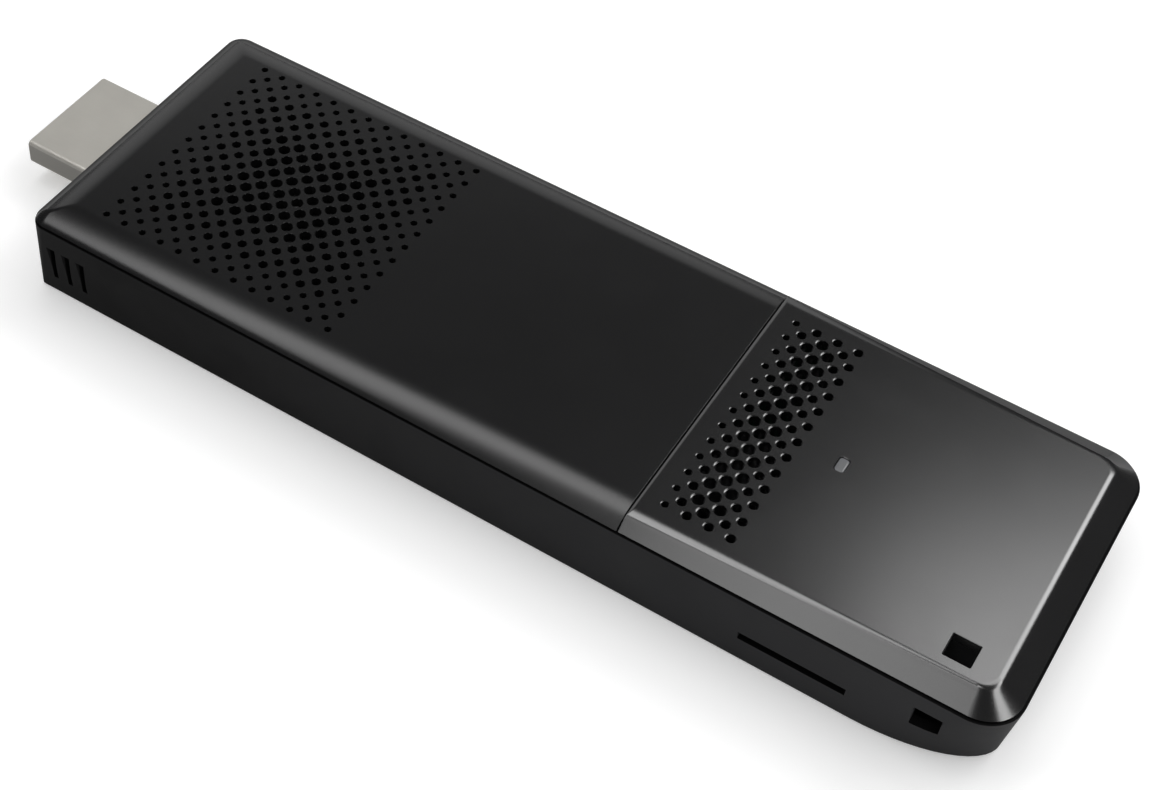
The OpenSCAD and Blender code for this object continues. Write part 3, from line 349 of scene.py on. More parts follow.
def stadium_outline(length, width, steps=10):
    """Function that gives a slot's points, a strip with round ends."""
    def points(grow):
        radius = width / 2 + grow
        reach = (length - width) / 2
        turns = [math.radians(180 * i / steps - 90) for i in range(steps + 1)]
        right = [(reach + radius * math.cos(a), radius * math.sin(a)) for a in turns]
        return right + [(-u, -v) for u, v in right]
    return points


def full_turn(steps):
    """Angles of a whole turn in equal steps."""
    return [math.tau * i / steps for i in range(steps)]


# Places for outlines, whose depth is counted outwards

def endwise(centre):
    """Function that puts a point into the plug-end wall."""
    return lambda u, v, depth: (-depth, centre.y + u, centre.z + v)


def upright(centre):
    """Function that puts a point into the far wall."""
    return lambda u, v, depth: (centre.x + u, depth, centre.z + v)


def crosswise(centre):
    """Function that puts a point into the top, turned across it."""
    return lambda u, v, depth: (centre.x - v, u, depth)


def sections(points, place, steps):
    """Rings of an outline at steps of depth and growth, put in place."""
    return [[place(u, v, depth) for u, v in points(grow)] for depth, grow in steps]


# Meshes

def skin(bm, rings, closed=False):
    """Faces between rings of points, with the last ring joined to the first in a closed skin."""
    rows = [[bm.verts.new(point) for point in ring] for ring in rings]
    following = rows[1:] + rows[:1] if closed else rows[1:]
    for row, after in zip(rows, following):
        for i in range(len(row)):
            j = (i + 1) % len(row)
            bm.faces.new((row[i], row[j], after[j], after[i]))
    return rows


def add_loft(bm, rings):
    """A solid through rings of points, with its two ends closed."""
    rows = skin(bm, rings)
    bm.faces.new(rows[0])
    bm.faces.new(rows[-1])


def tidy_faces(bm):
    bmesh.ops.remove_doubles(bm, verts=bm.verts, dist=MERGE_WITHIN)
    bmesh.ops.recalc_face_normals(bm, faces=bm.faces)


def loft(rings):
    bm = bmesh.new()
    add_loft(bm, rings)
    tidy_faces(bm)
    return bm


def as_object(name, bm):
    mesh = bpy.data.meshes.new(name)
    bm.to_mesh(mesh)
    bm.free()
    piece = bpy.data.objects.new(name, mesh)
    bpy.context.scene.collection.objects.link(piece)
    return piece


def keep_result(piece):
    """Turn what the modifiers make into the piece's plain mesh."""
    depsgraph = bpy.context.evaluated_depsgraph_get()
    made = bpy.data.meshes.new_from_object(piece.evaluated_get(depsgraph), depsgraph=depsgraph)
    piece.modifiers.clear()
    before = piece.data
    piece.data = made
    bpy.data.meshes.remove(before)


def combine(piece, other, operation):
    """Cut another object out of a piece, or join it on, and remove it."""
    modifier = piece.modifiers.new(operation, "BOOLEAN")
    modifier.operation = operation
    modifier.solver = "EXACT"
    modifier.object = other
    keep_result(piece)
    bpy.data.objects.remove(other)


def shade(piece):
    """Smooth shading that keeps flat faces flat and edges over an angle sharp."""
    piece.data.shade_smooth()
    piece.data.set_sharp_from_angle(angle=math.radians(SHARP_ANGLE))
    modifier = piece.modifiers.new("weighted", "WEIGHTED_NORMAL")
    modifier.keep_sharp = True
    keep_result(piece)


def settle(piece, finish, body, *nodes):
    """Shade a finished piece, scale it into the frame, give it its finish and its body, and hide the frame
    nodes that it replaces.
    """
    shade(piece)
    piece.data.transform(Matrix.Translation((WALL_X, 0, 0)) @ Matrix.Scale(MM, 4))
    piece.data.materials.clear()
    piece.data.materials.append(finishes[finish])
    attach(piece, body)
    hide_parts(*nodes)
    return piece


def flared_cut(bm, points, place, face, inside, chamfer=OPENING_CHAMFER):
    """Prism that cuts an opening into a face and widens where it leaves it.
    points(grow) gives its outline and place(u, v, depth) puts a point in the piece."""
    steps = [(inside, 0), (face - chamfer, 0), (face + CUT_REACH, chamfer + CUT_REACH)]
    add_loft(bm, sections(points, place, steps))


def cut_out(piece, cuts):
    tidy_faces(cuts)
    combine(piece, as_object("cuts", cuts), "DIFFERENCE")


def joined(name, rings, more_rings):
    """Piece made of two lofted solids joined into one."""
    piece = as_object(name, loft(rings))
    combine(piece, as_object("more", loft(more_rings)), "UNION")
    return piece


# Finishes

MIDDLE_RANGE = (0.3, 0.7)
PATCH_SCALE = 60
CELL_SHARE = 0.5
WIPE_SCALE = 3
LINE_DEPTH = 0.004
TRACK_PITCH = 260
TRACK_RELIEF = 0.4
TRACK_DEPTH = 0.02
PAD_RANGE = (0.14, 0.1)
ASLANT_RANGE = (0.52, 0.74)
LEVEL_RANGE = (0.1, 0.6)


def connect(tree, node, inputs):
    """Set a node's inputs to plain values, or link them to other nodes' outputs."""
    for name, value in inputs.items():
        if isinstance(value, bpy.types.NodeSocket):
            tree.links.new(value, node.inputs[name])
        else:
            node.inputs[name].default_value = value


def add_node(tree, kind, inputs=None, **settings):
    """Add a node with its inputs and its settings, which come first because sockets follow from them."""
    made = tree.nodes.new(kind)
    for name, value in settings.items():
        setattr(made, name, value)
    connect(tree, made, inputs or {})
    return made


def maths(tree, operation, *values):
    """Result of an operation on plain values or other nodes' outputs."""
    return add_node(tree, "ShaderNodeMath", dict(enumerate(values)), operation=operation).outputs[0]


def ranged(tree, value, given, wanted):
    """Map a value from a given range onto a wanted one."""
    return add_node(tree, "ShaderNodeMapRange", {"Value": value, "From Min": given[0], "From Max": given[1],
                     "To Min": wanted[0], "To Max": wanted[1]}).outputs[0]


def noise(tree, place, scale, detail):
    return add_node(tree, "ShaderNodeTexNoise", {"Vector": place, "Scale": scale, "Detail": detail}).outputs


def cell_distance(tree, place, scale):
    """Distance to the middle of the nearest of many scattered cells."""
    return add_node(tree, "ShaderNodeTexVoronoi", {"Vector": place, "Scale": scale}).outputs["Distance"]


def object_place(tree):
    return add_node(tree, "ShaderNodeTexCoord").outputs["Object"]


def new_group(name, inputs, outputs):
    """Empty shader node group with float inputs, given as name and value, and named outputs."""
    tree = bpy.data.node_groups.new(name, "ShaderNodeTree")
    for label, value in inputs.items():
        socket = tree.interface.new_socket(label, in_out="INPUT", socket_type="NodeSocketFloat")
        socket.default_value = value
    for label in outputs:
        tree.interface.new_socket(label, in_out="OUTPUT", socket_type="NodeSocketFloat")
    return tree, tree.nodes.new("NodeGroupInput").outputs, tree.nodes.new("NodeGroupOutput")


def moulded_grain():
    """Fine texture of moulded plastic, with slow changes of tone and gloss."""
    tree, given, result = new_group("moulded_grain", {"Grain": 5000, "Patches": PATCH_SCALE},
                                    ["Height", "Tone", "Gloss"])
    place = object_place(tree)
    fine = noise(tree, place, given["Grain"], 2)
    cells = cell_distance(tree, place, given["Grain"])
    patches = noise(tree, place, given["Patches"], 4)
    wiped = noise(tree, patches["Color"], WIPE_SCALE, 2)
    connect(tree, result, {"Height": maths(tree, "MULTIPLY_ADD", cells, CELL_SHARE, fine["Fac"]),
                           "Tone": patches["Fac"], "Gloss": wiped["Fac"]})
    return tree


def drawn_lines():
    """Fine lines that a drawing die or a brush leaves along X, with soft stains."""
    tree, given, result = new_group("drawn_lines", {"Along": 40, "Across": 9000, "Stains": 150},
                                    ["Height", "Tone"])
    place = object_place(tree)
    stretch = add_node(tree, "ShaderNodeCombineXYZ",
                       {"X": given["Along"], "Y": given["Across"], "Z": given["Across"]}).outputs[0]
    drawn = add_node(tree, "ShaderNodeVectorMath", {0: place, 1: stretch}, operation="MULTIPLY")
    connect(tree, result, {"Height": noise(tree, drawn.outputs[0], 1, 3)["Fac"],
                           "Tone": noise(tree, place, given["Stains"], 5)["Fac"]})
    return tree


def board_tracks():
    """Copper tracks and pads that show through a board's lacquer."""
    tree, given, result = new_group("board_tracks", {"Pitch": TRACK_PITCH}, ["Tracks", "Height"])
    place = object_place(tree)
    runs = add_node(tree, "ShaderNodeTexBrick",
                    {"Vector": place, "Scale": given["Pitch"], "Mortar Size": 0.05, "Mortar Smooth": 0.2,
                     "Brick Width": 1.4, "Row Height": 0.4}, offset=0.35, squash=1.7)
    dots = ranged(tree, cell_distance(tree, place, given["Pitch"]), PAD_RANGE, (0, 1))
    connect(tree, result, {"Tracks": maths(tree, "MAXIMUM", runs.outputs["Fac"], dots),
                           "Height": noise(tree, place, given["Pitch"], 3)["Fac"]})
    return tree


GRAIN = moulded_grain()
LINES = drawn_lines()
TRACKS = board_tracks()


def use_group(tree, group, inputs):
    return add_node(tree, "ShaderNodeGroup", inputs, node_tree=group).outputs


def new_finish(name, shader):
    """Material with a principled shader whose fixed values are given by socket name."""
    material = bpy.data.materials.new(name)
    material.use_nodes = True
    principled = material.node_tree.nodes["Principled BSDF"]
    connect(material.node_tree, principled, shader)
    return material, material.node_tree, principled


def shades(colour, spread):
    """A darker and a lighter shade of a colour."""
    return [[min(c * share, 1) for c in colour] for share in (1 - spread, 1 + spread)]


def tint(tree, value, *colours):
    """Map a texture's middle range onto a colour from dark to light."""
    ramp = add_node(tree, "ShaderNodeValToRGB", {"Fac": value})
    for stop, position, colour in zip(ramp.color_ramp.elements, MIDDLE_RANGE, colours):
        stop.position = position
        stop.color = (*colour, 1)
    return ramp.outputs["Color"]


def press(tree, height, strength, depth):
    """Normal of a surface that is raised by a texture of a given depth in millimetres."""
    return add_node(tree, "ShaderNodeBump", {"Height": height, "Strength": strength,
                                             "Distance": depth * MM}).outputs["Normal"]


def duller_aslant(tree, rough, edge_rough):
    """Roughness that rises towards edge_rough where the surface is seen aslant."""
    aslant = add_node(tree, "ShaderNodeLayerWeight", {"Blend": 0.5}).outputs["Facing"]
    return maths(tree, "MAXIMUM", rough, ranged(tree, aslant, ASLANT_RANGE, (0, edge_rough)))


def painted_light_mask(tree, level_share):
    """Mask for painted light: 1 on faces that stand upright and level_share on level ones."""
    normal = add_node(tree, "ShaderNodeNewGeometry").outputs["Normal"]
    height = add_node(tree, "ShaderNodeSeparateXYZ", {"Vector": normal}).outputs["Z"]
    return ranged(tree, maths(tree, "ABSOLUTE", height), LEVEL_RANGE, (1, level_share))


def scaled(tree, colours, share):
    return add_node(tree, "ShaderNodeVectorMath", {0: colours, "Scale": share},
                    operation="SCALE").outputs[0]


def paint_tail_light(tree, colours, tone):
    """Colour with painted light, whose upright faces grow paler along the casing, up to tone times at the
    tail.
    """
    along = add_node(tree, "ShaderNodeSeparateXYZ", {"Vector": object_place(tree)}).outputs["X"]
    casing = (WALL_X + PAINTED_LIGHT_FROM * MM, WALL_X + BODY_LEN * MM)
    extra = ranged(tree, along, casing, (0, tone - 1))
    return scaled(tree, colours, maths(tree, "MULTIPLY_ADD", extra, painted_light_mask(tree, 0), 1))


def plastic(name, colour, rough, specular=0.5, grain=5000, depth=0.01, relief=0.3, spread=0.12,
            edge_rough=0, painted_tail_light=1, ior=1.5):
    """Moulded plastic or lacquer of one colour, with its grain, tone and gloss, and where asked painted
    light that makes upright faces paler towards the tail.
    """
    material, tree, principled = new_finish(name, {"Specular IOR Level": specular, "IOR": ior})
    moulded = use_group(tree, GRAIN, {"Grain": grain, "Patches": PATCH_SCALE})
    colours = tint(tree, moulded["Tone"], *shades(colour, spread))
    # Painted light: upright faces paler towards the tail
    if painted_tail_light > 1:
        colours = paint_tail_light(tree, colours, painted_tail_light)
    gloss = ranged(tree, moulded["Gloss"], MIDDLE_RANGE, rough)
    if edge_rough:
        gloss = duller_aslant(tree, gloss, edge_rough)
    connect(tree, principled, {"Base Color": colours, "Roughness": gloss,
                               "Normal": press(tree, moulded["Height"], relief, depth)})
    return material


def metal(name, colour, rough, along=40, across=9000, relief=0.15, spread=0.1, painted_level_light=1):
    """Sheet metal or plating with the lines of its drawing and soft stains, and where asked painted light
    that makes level faces paler than upright ones.
    """
    material, tree, principled = new_finish(name, {"Metallic": 1})
    drawn = use_group(tree, LINES, {"Along": along, "Across": across})
    colours = tint(tree, drawn["Tone"], *shades(colour, spread))
    # Painted light: level faces paler, upright sides painted darker by comparison
    if painted_level_light > 1:
        colours = scaled(tree, colours, painted_light_mask(tree, painted_level_light))
    connect(tree, principled, {"Base Color": colours,
                               "Roughness": ranged(tree, drawn["Height"], MIDDLE_RANGE, rough),
                               "Normal": press(tree, drawn["Height"], relief, LINE_DEPTH)})
    return material


def board(name, lacquer, copper, rough):
    """Lacquered circuit board with its tracks."""
    material, tree, principled = new_finish(name, {})
    tracks = use_group(tree, TRACKS, {"Pitch": TRACK_PITCH})
    connect(tree, principled, {"Base Color": tint(tree, tracks["Tracks"], lacquer, copper),
                               "Roughness": ranged(tree, tracks["Height"], MIDDLE_RANGE, rough),
                               "Normal": press(tree, tracks["Tracks"], TRACK_RELIEF, TRACK_DEPTH)})
    return material


PLASTICS = {
    # satin_black carries painted light, its upright faces paler towards the tail
    "satin_black": dict(colour=(0.0042, 0.0042, 0.0044), rough=(0.58, 0.66), specular=0.045, grain=4200,
                        depth=0.006, relief=0.2, painted_tail_light=9),
    "matte_black": dict(colour=(0.006, 0.006, 0.0063), rough=(0.22, 0.235), specular=0.53, grain=5200,
                        depth=0.008, relief=0.25, edge_rough=0.8),
    "gloss_black": dict(colour=(0.0045, 0.0045, 0.0048), rough=(0.18, 0.2), specular=0.78, grain=900,
                        depth=0.001, relief=0.05, edge_rough=1, ior=1.65),
    "black_insulator": dict(colour=(0.012, 0.012, 0.013), rough=(0.45, 0.6)),
    "blue_insulator": dict(colour=(0.02, 0.09, 0.42), rough=(0.35, 0.5)),
    "chip_black": dict(colour=(0.03, 0.03, 0.034), rough=(0.5, 0.65), specular=0.4, grain=6000, relief=0.4),
    "ferrite": dict(colour=(0.08, 0.08, 0.085), rough=(0.55, 0.75), grain=3000, depth=0.03, relief=0.5,
                    spread=0.25),
    "ceramic_tan": dict(colour=(0.42, 0.28, 0.14), rough=(0.3, 0.45), grain=3000, relief=0.2, spread=0.2),
    "lead_black": dict(colour=(0.02, 0.02, 0.021), rough=(0.5, 0.65), specular=0.4, grain=2500),
    "thermal_pad": dict(colour=(0.35, 0.4, 0.46), rough=(0.7, 0.85), specular=0.3, grain=1500, depth=0.03,
                        relief=0.4),
    "fan_black": dict(colour=(0.008, 0.008, 0.0085), rough=(0.5, 0.62), specular=0.3, grain=4000,
                      depth=0.008),
    "white_nylon": dict(colour=(0.72, 0.7, 0.64), rough=(0.4, 0.55), grain=2500, relief=0.2, spread=0.06),
    "light_grey": dict(colour=(0.128, 0.132, 0.137), rough=(0.3, 0.4), grain=2500, depth=0.004, relief=0.1,
                       spread=0.05),
}
METALS = {
    # nickel carries painted light, its level faces paler than its upright sides
    "nickel": dict(colour=(0.195, 0.189, 0.175), rough=(0.52, 0.56), relief=0.06, spread=0.05,
                   painted_level_light=2.8),
    "gold_contact": dict(colour=(0.83, 0.62, 0.25), rough=(0.2, 0.35)),
    "sheet_steel": dict(colour=(0.6, 0.6, 0.61), rough=(0.25, 0.4)),
    "copper": dict(colour=(0.72, 0.38, 0.22), rough=(0.28, 0.42), spread=0.18),
    "fan_plate": dict(colour=(0.02, 0.02, 0.022), rough=(0.5, 0.65), spread=0.2),
    "bearing_bronze": dict(colour=(0.6, 0.42, 0.18), rough=(0.3, 0.45), spread=0.2),
    "stator_copper": dict(colour=(0.45, 0.2, 0.1), rough=(0.35, 0.5), along=6000, across=900, relief=0.4),
    "screw_steel": dict(colour=(0.5, 0.5, 0.51), rough=(0.25, 0.4)),
}
BOARDS = {
    "board_green": dict(lacquer=(0.012, 0.1, 0.05), copper=(0.05, 0.22, 0.09), rough=(0.25, 0.4)),
    "antenna_board": dict(lacquer=(0.5, 0.26, 0.08), copper=(0.75, 0.45, 0.2), rough=(0.3, 0.45)),
}
finishes = {name: plastic(name, **look) for name, look in PLASTICS.items()}
finishes |= {name: metal(name, **look) for name, look in METALS.items()}
finishes |= {name: board(name, **look) for name, look in BOARDS.items()}


# Trees of geometry nodes

def new_tree(name, inputs):
    """Geometry node tree with a geometry input and further inputs given as name and socket type."""
    tree = bpy.data.node_groups.new(name, "GeometryNodeTree")
    for label, kind in {"Geometry": "NodeSocketGeometry", **inputs}.items():
        tree.interface.new_socket(label, in_out="INPUT", socket_type=kind)
    tree.interface.new_socket("Geometry", in_out="OUTPUT", socket_type="NodeSocketGeometry")
    return tree, tree.nodes.new("NodeGroupInput").outputs, tree.nodes.new("NodeGroupOutput")


def mesh_of(tree, source):
    """Mesh of an object that a tree is given."""
    return add_node(tree, "GeometryNodeObjectInfo", {"Object": source}).outputs["Geometry"]


def stored(tree, name, kind):
    """Value that each point holds under a name."""
    return add_node(tree, "GeometryNodeInputNamedAttribute", {"Name": name}, data_type=kind).outputs[0]


def realized(tree, instances):
    return add_node(tree, "GeometryNodeRealizeInstances", {"Geometry": instances}).outputs[0]


def end_tree(tree, result, geometry, finish):
    """Close a tree with real geometry and its finish."""
    faced = add_node(tree, "GeometryNodeSetMaterial",
                     {"Geometry": realized(tree, geometry), "Material": finish})
    connect(tree, result, {"Geometry": faced.outputs[0]})


def drilling_tree():
    """Drills a bit through a cover at each point, scaled by the point's width."""
    tree, given, result = new_tree("drilling", {
        "Cover": "NodeSocketObject", "Bit": "NodeSocketObject", "Finish": "NodeSocketMaterial"})
    bits = add_node(tree, "GeometryNodeInstanceOnPoints",
                    {"Points": given["Geometry"], "Instance": mesh_of(tree, given["Bit"]),
                     "Scale": stored(tree, "width", "FLOAT")})
    drilled = add_node(tree, "GeometryNodeMeshBoolean",
                       {"Mesh 1": mesh_of(tree, given["Cover"]), "Mesh 2": realized(tree, bits.outputs[0])},
                       operation="DIFFERENCE", solver="EXACT")
    end_tree(tree, result, drilled.outputs["Mesh"], given["Finish"])
    return tree


def placing_tree():
    """Sets a small part at each point, turned as the point says."""
    tree, given, result = new_tree("placing", {"Part": "NodeSocketObject", "Finish": "NodeSocketMaterial"})
    placed = add_node(tree, "GeometryNodeInstanceOnPoints",
                      {"Points": given["Geometry"], "Instance": mesh_of(tree, given["Part"]),
                       "Rotation": stored(tree, "turn", "FLOAT_VECTOR")})
    end_tree(tree, result, placed.outputs[0], given["Finish"])
    return tree


DRILLING = drilling_tree()
PLACING = placing_tree()


def grown_from(piece, tree, values):
    """Give a piece the result of a tree, whose inputs are set by their identifiers."""
    modifier = piece.modifiers.new(tree.name, "NODES")
    modifier.node_group = tree
    for item in tree.interface.items_tree:
        if item.in_out == "INPUT" and item.name in values:
            modifier[item.identifier] = values[item.name]
    keep_result(piece)
    return piece


def points_object(name, places):
    bm = bmesh.new()
    for place in places:
        bm.verts.new(place)
    return as_object(name, bm)


def place_parts(name, part, places, finish, turns=()):
    """Copies of a small part at places, each with its own turn in radians where turns are given."""
    placed = points_object(name, places)
    turn = placed.data.attributes.new("turn", "FLOAT_VECTOR", "POINT")
    for entry, angles in zip(turn.data, turns):
        entry.vector = angles
    grown_from(placed, PLACING, {"Part": part, "Finish": finishes[finish]})
    bpy.data.objects.remove(part)
    return placed


def join(piece, other):
    """Add another object's mesh to a piece and remove it."""
    bm = bmesh.new()
    bm.from_mesh(piece.data)
    bm.from_mesh(other.data)
    bm.to_mesh(piece.data)
    bm.free()
    bpy.data.objects.remove(other)


def drill(cover, holes, top, finish, lip):
    """Drill vent holes, given as x, y and diameter, through a cover of a given top.
    The lip is that of the largest hole."""
    radius = HOLE_LARGE / 2
    depth = (GRILLE_T + CUT_REACH) * HOLE_LARGE / HOLE_SMALL
    reach = 1 + LIP_RISE / lip[2]
    wide, narrow = lip[0] * reach, lip[1] * reach
    profile = [(radius, radius, 0, -depth), (radius, radius, 0, -lip[2]),
               (radius + (wide + narrow) / 2, radius + narrow, (narrow - wide) / 2, LIP_RISE)]
    bit = as_object("bit", loft([[(shift + a * math.cos(turn), b * math.sin(turn), z)
                                  for turn in full_turn(HOLE_SIDES)] for a, b, shift, z in profile]))
    name = cover.name
    drilled = points_object(name + "_drilled", [(x, y, top) for x, y, _ in holes])
    width = drilled.data.attributes.new("width", "FLOAT", "POINT")
    for entry, hole in zip(width.data, holes):
        entry.value = hole[2] / HOLE_LARGE
    grown_from(drilled, DRILLING, {"Cover": cover, "Bit": bit, "Finish": finishes[finish]})
    for used in (cover, bit):
        bpy.data.objects.remove(used)
    drilled.name = name
    return drilled


# Casing

def lower_casing():
    """Drafted lower shell with a rounded foot, a shadow gap under the covers and all wall openings."""
    gap_z = SEAM_Z - SEAM_GAP
    rings = [casing_ring(FLOOR_T, WALL_T), casing_ring(SEAM_Z, WALL_T),
             casing_ring(SEAM_Z, RIM_INSET), casing_ring(gap_z, RIM_INSET)]
    quarter = [math.pi / 2 * k / ROUND_STEPS for k in range(ROUND_STEPS + 1)]
    rings += [casing_ring(gap_z - SEAM_EDGE_R * (1 - math.cos(a)), SEAM_EDGE_R * (1 - math.sin(a)))
              for a in quarter]
    top = gap_z - SEAM_EDGE_R
    rings += [casing_ring(top + (FOOT_R - top) * k / WALL_STEPS, 0) for k in range(1, WALL_STEPS)]
    rings += [casing_ring(FOOT_R * (1 - math.sin(a)), FOOT_R * (1 - math.cos(a))) for a in quarter]
    casing = as_object("lower_casing", loft(rings))
    combine(casing, screw_bosses(), "UNION")
    combine(casing, lanyard_pocket(), "UNION")
    cuts = bmesh.new()
    near_openings(cuts)
    far_openings(cuts)
    flared_cut(cuts, plug_outline(PORT_CLEAR), endwise(middle("plug_shell")), 0, -WALL_T - 2 * CUT_PAST)
    cut_out(casing, cuts)
    settle(casing, "satin_black", "casing", "base_shell")


def screw_bosses():
    """Bosses on the floor, each with a blind bore for its screw."""
    profile = [(BOSS_R, FLOOR_T / 2), (BOSS_R, BOSS_TOP), (BOSS_BORE_R, BOSS_TOP),
               (BOSS_BORE_R, BOSS_TOP - BOSS_DEPTH)]
    boss = as_object("boss", loft([[(r * math.cos(a), r * math.sin(a), z) for a in full_turn(HOLE_SIDES)]
                                   for r, z in profile]))
    return place_parts("bosses", boss, [(x, y, 0) for x, y in BOSS_PLACES], "satin_black")


def lanyard_pocket():
    """Wall inside the casing that closes the way between the two lanyard holes."""
    near = POCKET_GAP - HALF_W
    back = LANYARD_INSET + LANYARD_W / 2 + POCKET_T - HALF_W
    w = POCKET_W / 2
    t = POCKET_T
    wall = [(-w - t, near), (-w, near), (-w, back), (w, back), (w, near), (w + t, near), (w + t, back + t),
            (-w - t, back + t)]
    return as_object("pocket", loft([[(LANYARD_X + u, y, z) for u, y in wall]
                                     for z in (FLOOR_T / 2, BODY_H - COVER_T - PORT_CLEAR)]))


def near_openings(cuts):
    """Exhaust slots, card slot and side lanyard hole."""
    slots = [(SLOT_START + i * SLOT_PITCH, SLOT_Z + SLOT_H / 2, box_outline(SLOT_W, SLOT_H))
             for i in range(SLOT_COUNT)]
    card = middle("card_socket")
    slots.append((card.x, card.z, box_outline(CARD_SLOT_W, CARD_SLOT_H)))
    slots.append((LANYARD_X, LANYARD_Z, box_outline(LANYARD_W, LANYARD_W, LANYARD_CORNER)))
    for x, z, points in slots:
        face = wall_y(z)
        flared_cut(cuts, points, lambda u, v, depth: (x + u, -depth, z + v), face,
                   face - WALL_T - CUT_PAST, NEAR_CHAMFER)


def far_openings(cuts):
    """Openings for the button, the power socket and the two data sockets."""
    for node, points in far_fittings():
        centre = middle(node)
        face = wall_y(centre.z)
        flared_cut(cuts, points, upright(centre), face, face - WALL_T - CUT_PAST)


def far_fittings():
    """Each fitting in the far wall, with the outline of its opening."""
    low, high = span("power_shell")
    fittings = [("switch_body", stadium_outline(BUTTON_W + 2 * BUTTON_CLEAR, BUTTON_H + 2 * BUTTON_CLEAR)),
                ("power_shell", box_outline(high.x - low.x + 2 * PORT_CLEAR,
                                            high.z - low.z + 2 * PORT_CLEAR, POWER_OPENING_R))]
    for node in ("data_tongue_first", "data_tongue_second"):
        fittings.append((node, data_outline(node, PORT_CLEAR)))
    return fittings


def data_outline(node, grow):
    """Outline of the shell round a data socket's tongue, grown by a margin."""
    low, high = span(node)
    shape = box_outline(high.x - low.x + 2 * SHEET_T, high.z - low.z + 2 * SHEET_T, DATA_CORNER)
    return lambda more: shape(grow + more)


def plug_outline(grow):
    low, high = span("plug_shell")
    shape = slanted_outline(high.y - low.y, high.z - low.z, PLUG_SLANT, PLUG_CORNER)
    return lambda more: shape(grow + more)


def cover_inside(ring_at, ceiling):
    """Rings from the ceiling of a cover's hollow, down its lip, out to the seam and up to its edge."""
    lip_z = SEAM_Z - LIP_H
    return [ring_at(ceiling, LIP_INNER), ring_at(lip_z, LIP_INNER), ring_at(lip_z, LIP_OUTER),
            ring_at(SEAM_Z, LIP_OUTER), ring_at(SEAM_Z, RIM_INSET), ring_at(COVER_EDGE_Z, RIM_INSET)]


def join_end_face(bm, x):
    """Join the strips of a cover's upright face at the split into one face."""
    strips = [face for face in bm.faces
              if all(abs(vert.co.x - x) < NEAR and vert.co.z > SEAM_Z - NEAR for vert in face.verts)]
    if len(strips) > 1:
        bmesh.ops.dissolve_faces(bm, faces=strips)


def is_split_rim(edge, x):
    """Whether an edge borders a cover's upright face at the split, above the cover's lower edge."""
    heights = [vert.co.z for vert in edge.verts]
    at_split = all(abs(vert.co.x - x) < NEAR for vert in edge.verts)
    return at_split and min(heights) > COVER_EDGE_Z - NEAR and max(heights) > COVER_EDGE_Z + NEAR


def staggered(columns, rows, place, size):
    """Staggered holes as x, y and diameter. place(i) gives x by column, size(i, j) the diameter."""
    return [(place(i), (j - rows / 2) * VENT_PITCH / 2, size(i, j))
            for i in range(columns + 1) for j in range(i % 2, rows + 1, 2)]


def square_vent_holes():
    """Square of holes over the blower, smaller towards its border."""
    last = 2 * (VENT_COUNT - 1)
    centre = middle("fan_shaft").x

    def size(i, j):
        depth = min(i, j, last - i, last - j)
        return HOLE_SMALL if depth < SMALL_ROWS else HOLE_MEDIUM if depth < MEDIUM_ROWS else HOLE_LARGE

    return staggered(last, last, lambda i: centre + (i - last / 2) * VENT_PITCH / 2, size)


def band_holes():
    """Band of holes beside the split, largest in its middle rows."""
    last = 2 * (BAND_COUNT - 1)
    last_row = 2 * (VENT_COUNT - 1)

    def size(i, j):
        largest = HOLE_MEDIUM if i == 1 or i >= last - 1 or j in (0, last_row) else HOLE_LARGE
        return HOLE_SMALL if i == 0 else largest

    return staggered(last, last_row, lambda i: SPLIT_X + BAND_GAP + i * VENT_PITCH / 2, size)


def matte_cover():
    """Pillow-shaped cover over the blower, with its square vent."""
    rings = cover_inside(vent_cover_ring, VENT_TOP - COVER_T)
    rise = VENT_TOP - SEAM_Z
    start = 1 - math.sqrt(1 - (COVER_RAISE / rise) ** (1 / PILLOW_EDGE))
    for i in range(PILLOW_STEPS + 1):
        k = start + (1 - start) * i / PILLOW_STEPS
        s = PILLOW_W * k
        z = SEAM_Z + rise * (1 - (1 - k) ** 2) ** PILLOW_EDGE
        rings.append(at_height(outline(s, VENT_EDGE, HALF_W - s, HALF_W - s, plug_r(SEAM_Z, s), 0), z))
    bm = loft(rings)
    join_end_face(bm, VENT_EDGE)
    rim = [edge for edge in bm.edges if is_split_rim(edge, VENT_EDGE)]
    bmesh.ops.bevel(bm, geom=rim, offset=MATTE_EDGE_R, segments=RIM_STEPS, profile=0.5, affect="EDGES",
                    clamp_overlap=True)
    cover = drill(as_object("matte_vent_cover", bm), square_vent_holes(), VENT_TOP, "matte_black",
                  MATTE_LIP)
    settle(cover, "matte_black", "casing", "vent_cover")


def grille_land():
    """Thicker part of the gloss cover round its band of holes."""
    x0 = SPLIT_X + BAND_GAP - GRILLE_EDGE
    x1 = SPLIT_X + BAND_GAP + (BAND_COUNT - 1) * VENT_PITCH + GRILLE_EDGE
    y1 = (VENT_COUNT - 1) * VENT_PITCH / 2 + GRILLE_EDGE
    land = [(x0, -y1), (x1, -y1), (x1, y1), (x0, y1)]
    return as_object("grille_land", loft([at_height(land, BODY_H - GRILLE_T),
                                          at_height(land, BODY_H - COVER_T / 2)]))


